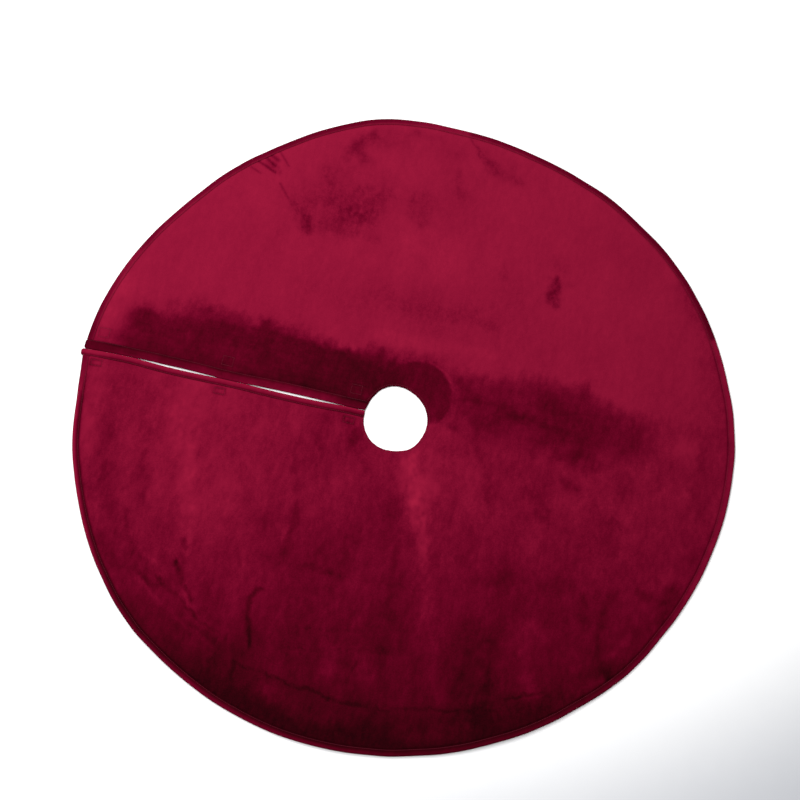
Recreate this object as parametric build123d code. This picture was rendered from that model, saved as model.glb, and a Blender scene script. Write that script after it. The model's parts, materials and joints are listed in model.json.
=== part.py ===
from build123d import *
import os
from math import cos, radians, sin

# Round velvet tree skirt, closed flat on the floor. All sizes are in millimetres.
# Origin: centre of the trunk hole, on the floor. +Z is up, and the slit runs out along -X.
# The cloth folds along straight lines, so each fold splits it into bodies: the four
# quarters, and a flap beside the slit that turns back to let the trunk in.

# ---- driving dimensions ----
skirt_radius = 610.0            # 48 in across, over the rim binding
hole_radius = 58.0              # finished edge of the trunk hole
rim_centre = (10.0, 1.0)        # the hole was cut a little towards the slit
slit_y = 4.0                    # the slit and the half-fold line lie on this line
slit_gap = 1.0                  # between the two bound slit edges
fold_gap = 0.3                  # between the bodies on the two sides of a fold

lining_z = 1.6                  # underside of the lining, above the floor
lining_thickness = 0.4
velvet_thickness = 1.5
binding_height = 5.0            # crown of the rolled binding
stitched_leg = 0.7              # thickness of the binding's upper leg, where it is sewn down
sewn_width = 3.0                # width of that flat leg
crown_drop = 0.3                # fall of the binding's back, halfway from crown to leg
binding_fold = 4.0              # solid roll outside the cloth's edge
edge_slack = 0.5                # between the cloth's edge and the roll
hem_width = 8.0                 # velvet turned under the lining round the hole
hem_slack = 0.2                 # between the turned velvet and the lining's edge

rim_band = 12.0                 # widths of the bindings
front_band = 13.0
back_band = 18.0
slit_band_z = 0.9               # the slit bindings ride over the hook tabs
band_end_poke = 4.0             # slit bindings run out past the rim
band_end_gap = 0.5              # and stop this short of the hole

thread_width = 0.8
thread_height = 0.3
stitch_inset = 1.3              # stitch line, from a binding's sewn edge
hole_stitch_inset = 4.5         # stitch line, from the edge of the hole

tape_width = 25.0               # hook-and-loop tape
hook_thickness = 0.6
loop_thickness = 0.7
closure_x = {"inner": -84.0, "middle": -332.0, "outer": -571.0}
hook_sewn = (17.0, 33.0)        # sewn end of a hook tab, measured in front of the slit
hook_reach = 46.0               # free end of a hook tab, measured behind the slit
hook_drop = 2.6                 # run over which a tab drops from the lining to the floor
loop_sewn = (25.0, 47.0)        # loop pad, measured behind the slit
box_margin = 2.0                # stitch box, from the tape's edges

# ---- worked out from them ----
velvet_z = lining_z + lining_thickness
velvet_top = velvet_z + velvet_thickness
leg_top = velvet_top + stitched_leg
slit_half = slit_gap / 2
fold_half = fold_gap / 2
cloth_radius = skirt_radius - binding_fold - edge_slack
slit_outer_x = rim_centre[0] - skirt_radius - band_end_poke
slit_inner_x = -hole_radius - band_end_gap
reach = 2 * skirt_radius        # far enough to pass the rim in any direction
overrun = 1.0                   # how far a cutting shape runs past what it cuts

# body: fold or slit angle where it starts and ends, anticlockwise seen from above
bodies = {
    "front_right": (270, 360),
    "back_right": (0, 90),
    "back_left": (90, 135),
    "opening_flap": (135, 180),
    "front_left": (180, 270),
}
slit_band = {"opening_flap": back_band, "front_left": front_band}


def save(shape, node):
    export_step(shape, f"parts/{node}.step")


def heading(angle):
    return Vector(cos(radians(angle)), sin(radians(angle)))


def sector(body, slit_inset):
    """The body's share of the plane, kept back from its folds, and by slit_inset from the slit."""
    start, end = bodies[body]
    start_inset = slit_half + slit_inset if start == 180 else fold_half
    end_inset = slit_half + slit_inset if end == 180 else fold_half
    along_start, along_end = heading(start), heading(end)
    shift = (along_start * end_inset + along_end * start_inset) / sin(radians(end - start))
    apex = Vector(0, slit_y) + shift
    far = [along_start, along_start + along_end, along_end]
    return make_face(Polyline(apex, *[apex + direction * reach for direction in far], close=True))


def ring(centre, outer, inner):
    return Pos(*centre) * (Circle(outer) - Circle(inner))


def cloth(body, inner_radius, z, thickness):
    """A flat layer of the body, from round the hole into the slots of its bindings."""
    disc = Pos(*rim_centre) * Circle(cloth_radius) - Circle(inner_radius)
    outline = disc & sector(body, binding_fold + edge_slack)
    return Pos(0, 0, z) * extrude(outline, thickness)


def hole_hem(body):
    """The velvet's edge at the hole, turned down round the lining's edge and back under it."""
    share = sector(body, slit_band.get(body, 0) + fold_half)
    wall = ring((0, 0), hole_radius + velvet_thickness, hole_radius) & share
    under = ring((0, 0), hole_radius + hem_width, hole_radius) & share
    return extrude(wall, velvet_z) + extrude(under, lining_z)


def velvet(body):
    return cloth(body, hole_radius, velvet_z, velvet_thickness) + hole_hem(body)


def lining(body):
    return cloth(body, hole_radius + velvet_thickness + hem_slack, lining_z, lining_thickness)


def binding_section(band, underside):
    """Rolled binding: X runs in from the finished edge, Y is height above the floor."""
    middle = (binding_height + underside) / 2
    roll = binding_height - middle
    sewn_from = band - sewn_width
    edge = Curve() + [
        ThreePointArc((roll, underside), (0, middle), (roll, binding_height)),
        ThreePointArc(
            (roll, binding_height),
            ((roll + sewn_from) / 2, binding_height - crown_drop),
            (sewn_from, leg_top),
        ),
        Polyline((sewn_from, leg_top), (band, leg_top), (band, underside), (roll, underside)),
    ]
    return make_face(edge)


def cloth_slot(band):
    """The slot in a binding that holds the edges of the lining and the velvet."""
    width, height = band - binding_fold, velvet_top - lining_z
    return Pos(binding_fold, lining_z) * Rectangle(width, height, align=(Align.MIN, Align.MIN))


def upright(origin, inward):
    """A vertical plane through origin: X runs inward along the floor, Y is up."""
    return Plane(origin=origin, x_dir=inward, z_dir=Vector(*inward).cross(Vector(0, 0, 1)))


def rim_binding():
    """The whole rim binding, turned about the rim's centre."""
    section = binding_section(rim_band, 0) - cloth_slot(rim_band)
    edge = (rim_centre[0] + skirt_radius, rim_centre[1], 0)
    return revolve(upright(edge, (-1, 0, 0)) * section, Axis((*rim_centre, 0), (0, 0, 1)), 360)


def rim_share(body):
    """The column above the body's share of the rim, clear of the slit bindings."""
    clear = slit_band.get(body, 0) + fold_half
    return Pos(0, 0, -overrun) * extrude(sector(body, clear), binding_height + 2 * overrun)


def slit_side(body):
    """+1 behind the slit, -1 in front of it."""
    return 1 if body == "opening_flap" else -1


def along_slit(section, body, start_x, end_x):
    """A section run out along the body's edge of the slit, from start_x to end_x."""
    side = slit_side(body)
    edge = (start_x, slit_y + side * slit_half, 0)
    return extrude(upright(edge, (0, side, 0)) * section, start_x - end_x, dir=(-1, 0, 0))


def slit_binding(body):
    """One binding of the slit, from the hole to its closed end just past the rim."""
    band = slit_band[body]
    roll = along_slit(binding_section(band, slit_band_z), body, slit_inner_x, slit_outer_x)
    slot_end = rim_centre[0] - cloth_radius - edge_slack
    return roll - along_slit(cloth_slot(band), body, slit_inner_x + overrun, slot_end)


def ring_stitching(body, centre, radius, z, slit_inset):
    """A line of thread round the hole or the rim, as one flat ribbon."""
    line = ring(centre, radius + thread_width / 2, radius - thread_width / 2)
    return Pos(0, 0, z) * extrude(line & sector(body, slit_inset), thread_height)


def slit_stitching(body):
    """The line of thread along the sewn edge of a slit binding."""
    seam = slit_band[body] - stitch_inset
    ribbon = Pos(seam, leg_top) * Rectangle(thread_width, thread_height, align=(Align.CENTER, Align.MIN))
    return along_slit(ribbon, body, slit_inner_x - overrun, slit_outer_x + overrun)


def tape_section(corners, thickness):
    """A bent strip of tape seen along the slit, from the corners of its underside."""
    upper = [(y, z + thickness) for y, z in reversed(corners)]
    return make_face(Polyline(*corners, *upper, close=True))


def across_slit(section, x):
    """A tape's section, centred on x, with Y measured from the middle of the slit."""
    side = Plane(origin=(x - tape_width / 2, slit_y, 0), x_dir=(0, 1, 0), z_dir=(1, 0, 0))
    return extrude(side * section, tape_width, dir=(1, 0, 0))


def hook_tab(x):
    """Sewn under the front edge, and reaching under the slit to the loop pad."""
    near, far = hook_sewn
    sewn_z = lining_z - hook_thickness
    corners = [(-far, sewn_z), (-near, sewn_z), (-near + hook_drop, 0), (hook_reach, 0)]
    return across_slit(tape_section(corners, hook_thickness), x)


def loop_pad(x):
    corners = [(y, lining_z - loop_thickness) for y in loop_sewn]
    return across_slit(tape_section(corners, loop_thickness), x)


def box_stitching(x, sewn, side):
    """The rectangle of thread that holds a tape, on the face of the velvet."""
    length = sewn[1] - sewn[0] - 2 * box_margin
    width = tape_width - 2 * box_margin
    outline = Rectangle(width, length) - Rectangle(width - 2 * thread_width, length - 2 * thread_width)
    middle = slit_y + side * (sewn[0] + sewn[1]) / 2
    return Pos(x, middle, velvet_top) * extrude(outline, thread_height)


os.makedirs("parts", exist_ok=True)

whole_rim = rim_binding()
rim_stitch_radius = skirt_radius - rim_band + stitch_inset
for body in bodies:
    slit_inset = slit_band.get(body, 0)
    save(velvet(body), f"velvet_{body}")
    save(lining(body), f"lining_{body}")
    save(whole_rim & rim_share(body), f"rim_binding_{body}")
    save(
        ring_stitching(body, rim_centre, rim_stitch_radius, leg_top, slit_inset + fold_half),
        f"rim_stitching_{body}",
    )
    save(
        ring_stitching(body, (0, 0), hole_radius + hole_stitch_inset, velvet_top, slit_inset),
        f"hole_stitching_{body}",
    )

for body, edge in (("front_left", "front"), ("opening_flap", "back")):
    save(slit_binding(body), f"slit_binding_{edge}")
    save(slit_stitching(body), f"slit_stitching_{edge}")

for place, x in closure_x.items():
    save(hook_tab(x), f"hook_tab_{place}")
    save(loop_pad(x), f"loop_pad_{place}")
    save(box_stitching(x, hook_sewn, -1), f"hook_box_stitching_{place}")
    save(box_stitching(x, loop_sewn, 1), f"loop_box_stitching_{place}")
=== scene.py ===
import json
import math

import bpy
import numpy as np
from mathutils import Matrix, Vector


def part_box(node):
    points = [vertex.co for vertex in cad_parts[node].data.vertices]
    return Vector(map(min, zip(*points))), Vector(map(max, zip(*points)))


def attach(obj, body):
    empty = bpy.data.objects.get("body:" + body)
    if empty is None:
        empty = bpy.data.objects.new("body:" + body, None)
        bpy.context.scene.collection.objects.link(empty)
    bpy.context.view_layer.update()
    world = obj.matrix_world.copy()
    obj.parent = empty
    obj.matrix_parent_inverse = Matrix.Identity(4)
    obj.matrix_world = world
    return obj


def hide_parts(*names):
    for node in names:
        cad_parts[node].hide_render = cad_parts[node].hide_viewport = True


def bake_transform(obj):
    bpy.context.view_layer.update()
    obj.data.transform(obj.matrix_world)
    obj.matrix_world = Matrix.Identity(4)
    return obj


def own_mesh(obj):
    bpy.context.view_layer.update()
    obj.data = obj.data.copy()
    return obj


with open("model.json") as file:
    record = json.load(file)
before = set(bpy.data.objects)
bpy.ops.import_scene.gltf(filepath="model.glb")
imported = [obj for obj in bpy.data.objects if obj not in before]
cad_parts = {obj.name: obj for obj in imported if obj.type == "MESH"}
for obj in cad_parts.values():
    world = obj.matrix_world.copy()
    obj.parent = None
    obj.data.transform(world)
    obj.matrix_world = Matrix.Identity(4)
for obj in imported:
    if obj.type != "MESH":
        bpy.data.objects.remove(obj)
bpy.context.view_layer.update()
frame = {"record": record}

# Round velvet tree skirt, lying closed on the floor. Lengths are in millimetres until a mesh
# is made, and angles in degrees, anticlockwise from +X seen from above. Every piece is first
# laid out on the flat pattern, a true circle with a straight slit, and laid() then gives it
# the slightly uneven shape in which the cloth lies.

MM = 0.001
THREAD = 0.8                    # width of a stitch
SEAM_INSET = 1.3                # stitch line, from a binding's sewn edge
BINDING_FOLD = 4.5              # the cloth's edge, in from a binding's outer edge
BINDING_LEG_THICKNESS = 0.7     # the binding's upper leg, where it is sewn down
HEM_WIDTH = 8.0                 # velvet turned under the lining round the hole
HEM_TURN = 1.8                  # radius of that turn
SLIT_ANGLE = 180
PLACES = ("inner", "middle", "outer")   # the three closures along the slit


# ---- sizes read from the frame ----

def extent(*nodes):
    """Lowest and highest corner of these CAD nodes together."""
    boxes = [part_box(node) for node in nodes]
    low = np.min([np.array(box[0]) for box in boxes], axis=0)
    high = np.max([np.array(box[1]) for box in boxes], axis=0)
    return low / MM, high / MM


def parts_of(stem):
    bodies = ("front_right", "back_right", "back_left", "opening_flap", "front_left")
    return [f"{stem}_{body}" for body in bodies]


trunk_hole = [m for m in frame["record"]["mounts"] if m["name"] == "trunk_hole"][0]
HOLE_RADIUS = trunk_hole["dims"]["r_mm"]

rim_low, rim_high = extent(*parts_of("rim_binding"))
RIM_RADIUS = (rim_high[1] - rim_low[1]) / 2
RIM_CENTRE = np.array([rim_high[0] - RIM_RADIUS, (rim_high[1] + rim_low[1]) / 2])
BINDING_TOP = rim_high[2]
RIM_SEAM = extent(*parts_of("rim_stitching"))[1][0] - RIM_CENTRE[0] - THREAD / 2
HOLE_SEAM = extent(*parts_of("hole_stitching"))[1][1] - THREAD / 2
RIM_BAND = RIM_RADIUS - RIM_SEAM + SEAM_INSET

front_low, front_high = extent("slit_binding_front")
back_low, back_high = extent("slit_binding_back")
FRONT_EDGE, FRONT_BAND = front_high[1], front_high[1] - front_low[1]
BACK_EDGE, BACK_BAND = back_low[1], back_high[1] - back_low[1]
SLIT_Y = (FRONT_EDGE + BACK_EDGE) / 2
BAND_START_X, BAND_END_X = front_high[0], front_low[0]
BAND_LOW = front_low[2]

LINING_LOW, LINING_TOP = [corner[2] for corner in extent("lining_front_right")]
VELVET_TOP = extent("velvet_front_right")[1][2]
BINDING_LEG = VELVET_TOP + BINDING_LEG_THICKNESS
FOLD_CENTRE = np.array([0.0, SLIT_Y])
HOLE_CENTRE = np.zeros(2)

# the rectangles of thread that hold the tapes: left, low, right and high, through the thread's middle
STITCH_BOXES = {}
for place in PLACES:
    for tape in ("hook", "loop"):
        low, high = extent(f"{tape}_box_stitching_{place}")
        STITCH_BOXES[tape, place] = (*(low[:2] + THREAD / 2), *(high[:2] - THREAD / 2))


# ---- curves and seeded noise ----

def ease(t):
    """0 below 0, 1 above 1, and smooth between."""
    t = np.clip(t, 0, 1)
    return t * t * (3 - 2 * t)


def between(value, start, end):
    """0 at start, 1 at end, and smooth between."""
    return ease((value - start) / (end - start))


def hump(away, width):
    """1 where away is 0, and falling off over width on both sides."""
    return np.exp(-((away / width) ** 2))


def polar(x, y, centre=(0, 0)):
    """Angle about a centre, and distance from it."""
    off_x, off_y = x - centre[0], y - centre[1]
    return np.degrees(np.arctan2(off_y, off_x)), np.hypot(off_x, off_y)


def value_noise(x, y, cell, seed):
    """Smooth noise from -1 to 1 whose lumps are about one cell wide."""
    size = 256
    lattice = np.random.default_rng(seed).uniform(-1, 1, (size, size))
    u, v = x / cell + size / 2, y / cell + size / 2
    i, j = np.floor(u).astype(int), np.floor(v).astype(int)
    across, up = ease(u - i), ease(v - j)
    near, far = i % size, (i + 1) % size
    low, high = j % size, (j + 1) % size
    lower = lattice[near, low] * (1 - across) + lattice[far, low] * across
    upper = lattice[near, high] * (1 - across) + lattice[far, high] * across
    return lower * (1 - up) + upper * up


def cloud(x, y, cell, seed, octaves=3):
    """Noise with finer lumps on the coarse ones, each octave turned against the last."""
    total = np.zeros(np.shape(x))
    for octave in range(octaves):
        turn = 0.7 + 1.1 * octave
        u = x * math.cos(turn) - y * math.sin(turn)
        v = x * math.sin(turn) + y * math.cos(turn)
        total += value_noise(u, v, cell / 2 ** octave, seed + octave) / 2 ** octave
    return total


def round_noise(angle, lumps, seed):
    """Noise along a closed ring, with about that many lumps round it."""
    reach = lumps / 6
    return value_noise(reach * np.cos(np.radians(angle)), reach * np.sin(np.radians(angle)), 1, seed)


def from_line(x, y, start, end):
    """Distance from the straight line between two points, and the nearest place as a share of it."""
    along_x, along_y = end[0] - start[0], end[1] - start[1]
    share = ((x - start[0]) * along_x + (y - start[1]) * along_y) / (along_x ** 2 + along_y ** 2)
    share = np.clip(share, 0, 1)
    return np.hypot(x - start[0] - share * along_x, y - start[1] - share * along_y), share


# ---- how the flat pattern lies ----

# how the rim leaves its true circle: angle about the rim's centre, width of the bump, height outwards
RIM_BUMPS = [
    (24, 8, -1.4),
    (54, 7, -3.2),
    (73, 15, -8.0),
    (93, 7, -1.6),
    (107, 11, 12.5),
    (119, 6, 3.0),
    (147, 9, -5.0),
    (171, 9, 3.2),
    (189, 6, -6.0),
    (204, 10, -3.5),
    (230, 10, 3.5),
    (290, 18, -3.0),
    (316, 7, -1.4),
    (323, 7, 2.5),
    (368, 22, 4.5),
]
# how the hole's edge leaves its true circle: angle, width of the bump, height outwards
HOLE_BUMPS = [(112, 38, 7.6), (240, 50, 3.0), (310, 20, 3.0)]
# stretches of the slit that gape, and by how much
SLIT_GAPES = [(-498, -342, 3.3), (-285, -106, 3.6)]
SLIT_REST_GAP = 0.4
SLIT_REACH = 60                 # how far beside the slit the cloth follows it
# how far the slit lies behind its straight line: pairs of x and distance
SLIT_LINE = [(-604, -3.3), (-565, -0.8), (-525, 0.4), (-490, 0.3), (-440, -0.9), (-330, -1.5), (-270, -1.2),
             (-140, -0.8), (-95, 0.2), (-60, 0.5)]


def bumps(angle, table):
    """The sum of the bumps of a table at an angle."""
    total = np.zeros(np.shape(angle))
    for centre, width, height in table:
        total += height * hump((angle - centre + 180) % 360 - 180, width)
    return total


def uneven_rim(angle):
    """How far the rim lies outside its true circle."""
    return bumps(angle, RIM_BUMPS) + 0.7 * round_noise(angle, 90, 11)


def uneven_hole(angle):
    """How far the hole's edge lies outside its true circle."""
    return bumps(angle, HOLE_BUMPS) + 0.35 * round_noise(angle, 70, 32)


def slit_gap(x):
    """How wide the slit gapes at x."""
    gap = np.full(np.shape(x), SLIT_REST_GAP)
    for start, end, width in SLIT_GAPES:
        share = np.clip((x - start) / (end - start), 0, 1)
        gap = gap + width * np.sin(math.pi * share) ** 0.7
    return gap


def slit_place(x, y):
    """How far the slit's middle is pushed back at x, how far each side opens, and how much reaches y."""
    beside = between(-x, HOLE_RADIUS - 8, HOLE_RADIUS + 60)
    middle = beside * np.interp(x, *zip(*SLIT_LINE))
    opening = beside * (slit_gap(x) - (BACK_EDGE - FRONT_EDGE)) / 2
    return middle, opening, hump(y - SLIT_Y, SLIT_REACH)


RIM_WAVE, INNER_WAVE = 3.0, 0.7 # height of the waves at the rim, and of the swell inside it
FLAT_SHARE = 0.14               # share of them left at the left back


def lift(x, y):
    """Height of the soft waves. The left back stays flat, because other layers fold on to it."""
    angle, radius = polar(x, y, RIM_CENTRE)
    free_behind = 1 - (1 - FLAT_SHARE) * between(angle, 28, 46)
    free_in_front = FLAT_SHARE + (1 - FLAT_SHARE) * between(angle, -178, -158)
    free = np.where(angle > 0, free_behind, free_in_front)
    wave = (0.5 + 0.5 * round_noise(angle, 24, 21)) ** 2
    outer = between(radius, 400, RIM_RADIUS)
    inner = between(np.hypot(x, y), HOLE_RADIUS, 160) * (0.5 + 0.5 * cloud(x, y, 150, 22, 2) / 1.5)
    return free * (RIM_WAVE * wave * outer + INNER_WAVE * inner)


RIM_REACH = 260                 # the cloth follows the uneven rim from this radius out
HOLE_REACH = 22                 # and the uneven hole over about this distance from it


def laid(points, side=None):
    """The flat pattern's points as the skirt lies. side is +1 behind the slit, -1 in front of it."""
    x, y, z = np.moveaxis(np.asarray(points, float), -1, 0)
    angle, radius = polar(x, y, RIM_CENTRE)
    grow = 1 + uneven_rim(angle) * between(radius, RIM_REACH, RIM_RADIUS) / RIM_RADIUS
    hole_angle, hole_distance = polar(x, y)
    fading = np.exp(-np.clip(hole_distance - HOLE_RADIUS, 0, None) / HOLE_REACH)
    pull = uneven_hole(hole_angle) * fading / HOLE_RADIUS
    new_x = RIM_CENTRE[0] + (x - RIM_CENTRE[0]) * grow + x * pull
    new_y = RIM_CENTRE[1] + (y - RIM_CENTRE[1]) * grow + y * pull
    if side is None:
        side = np.where(y > SLIT_Y, 1, -1)
    middle, opening, near = slit_place(x, y)
    new_y = new_y + (middle + side * opening) * near
    return np.stack([new_x, new_y, z + lift(new_x, new_y)], axis=-1)


# ---- how the pile is brushed, with painted light and shade ----

# tone is how bright the pile looks, from the darkest crimson to the brightest
DARKEST, BRIGHTEST = 0.18, 0.64
BRIGHT_TONE = 0.545             # behind, where the pile lies back

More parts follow.
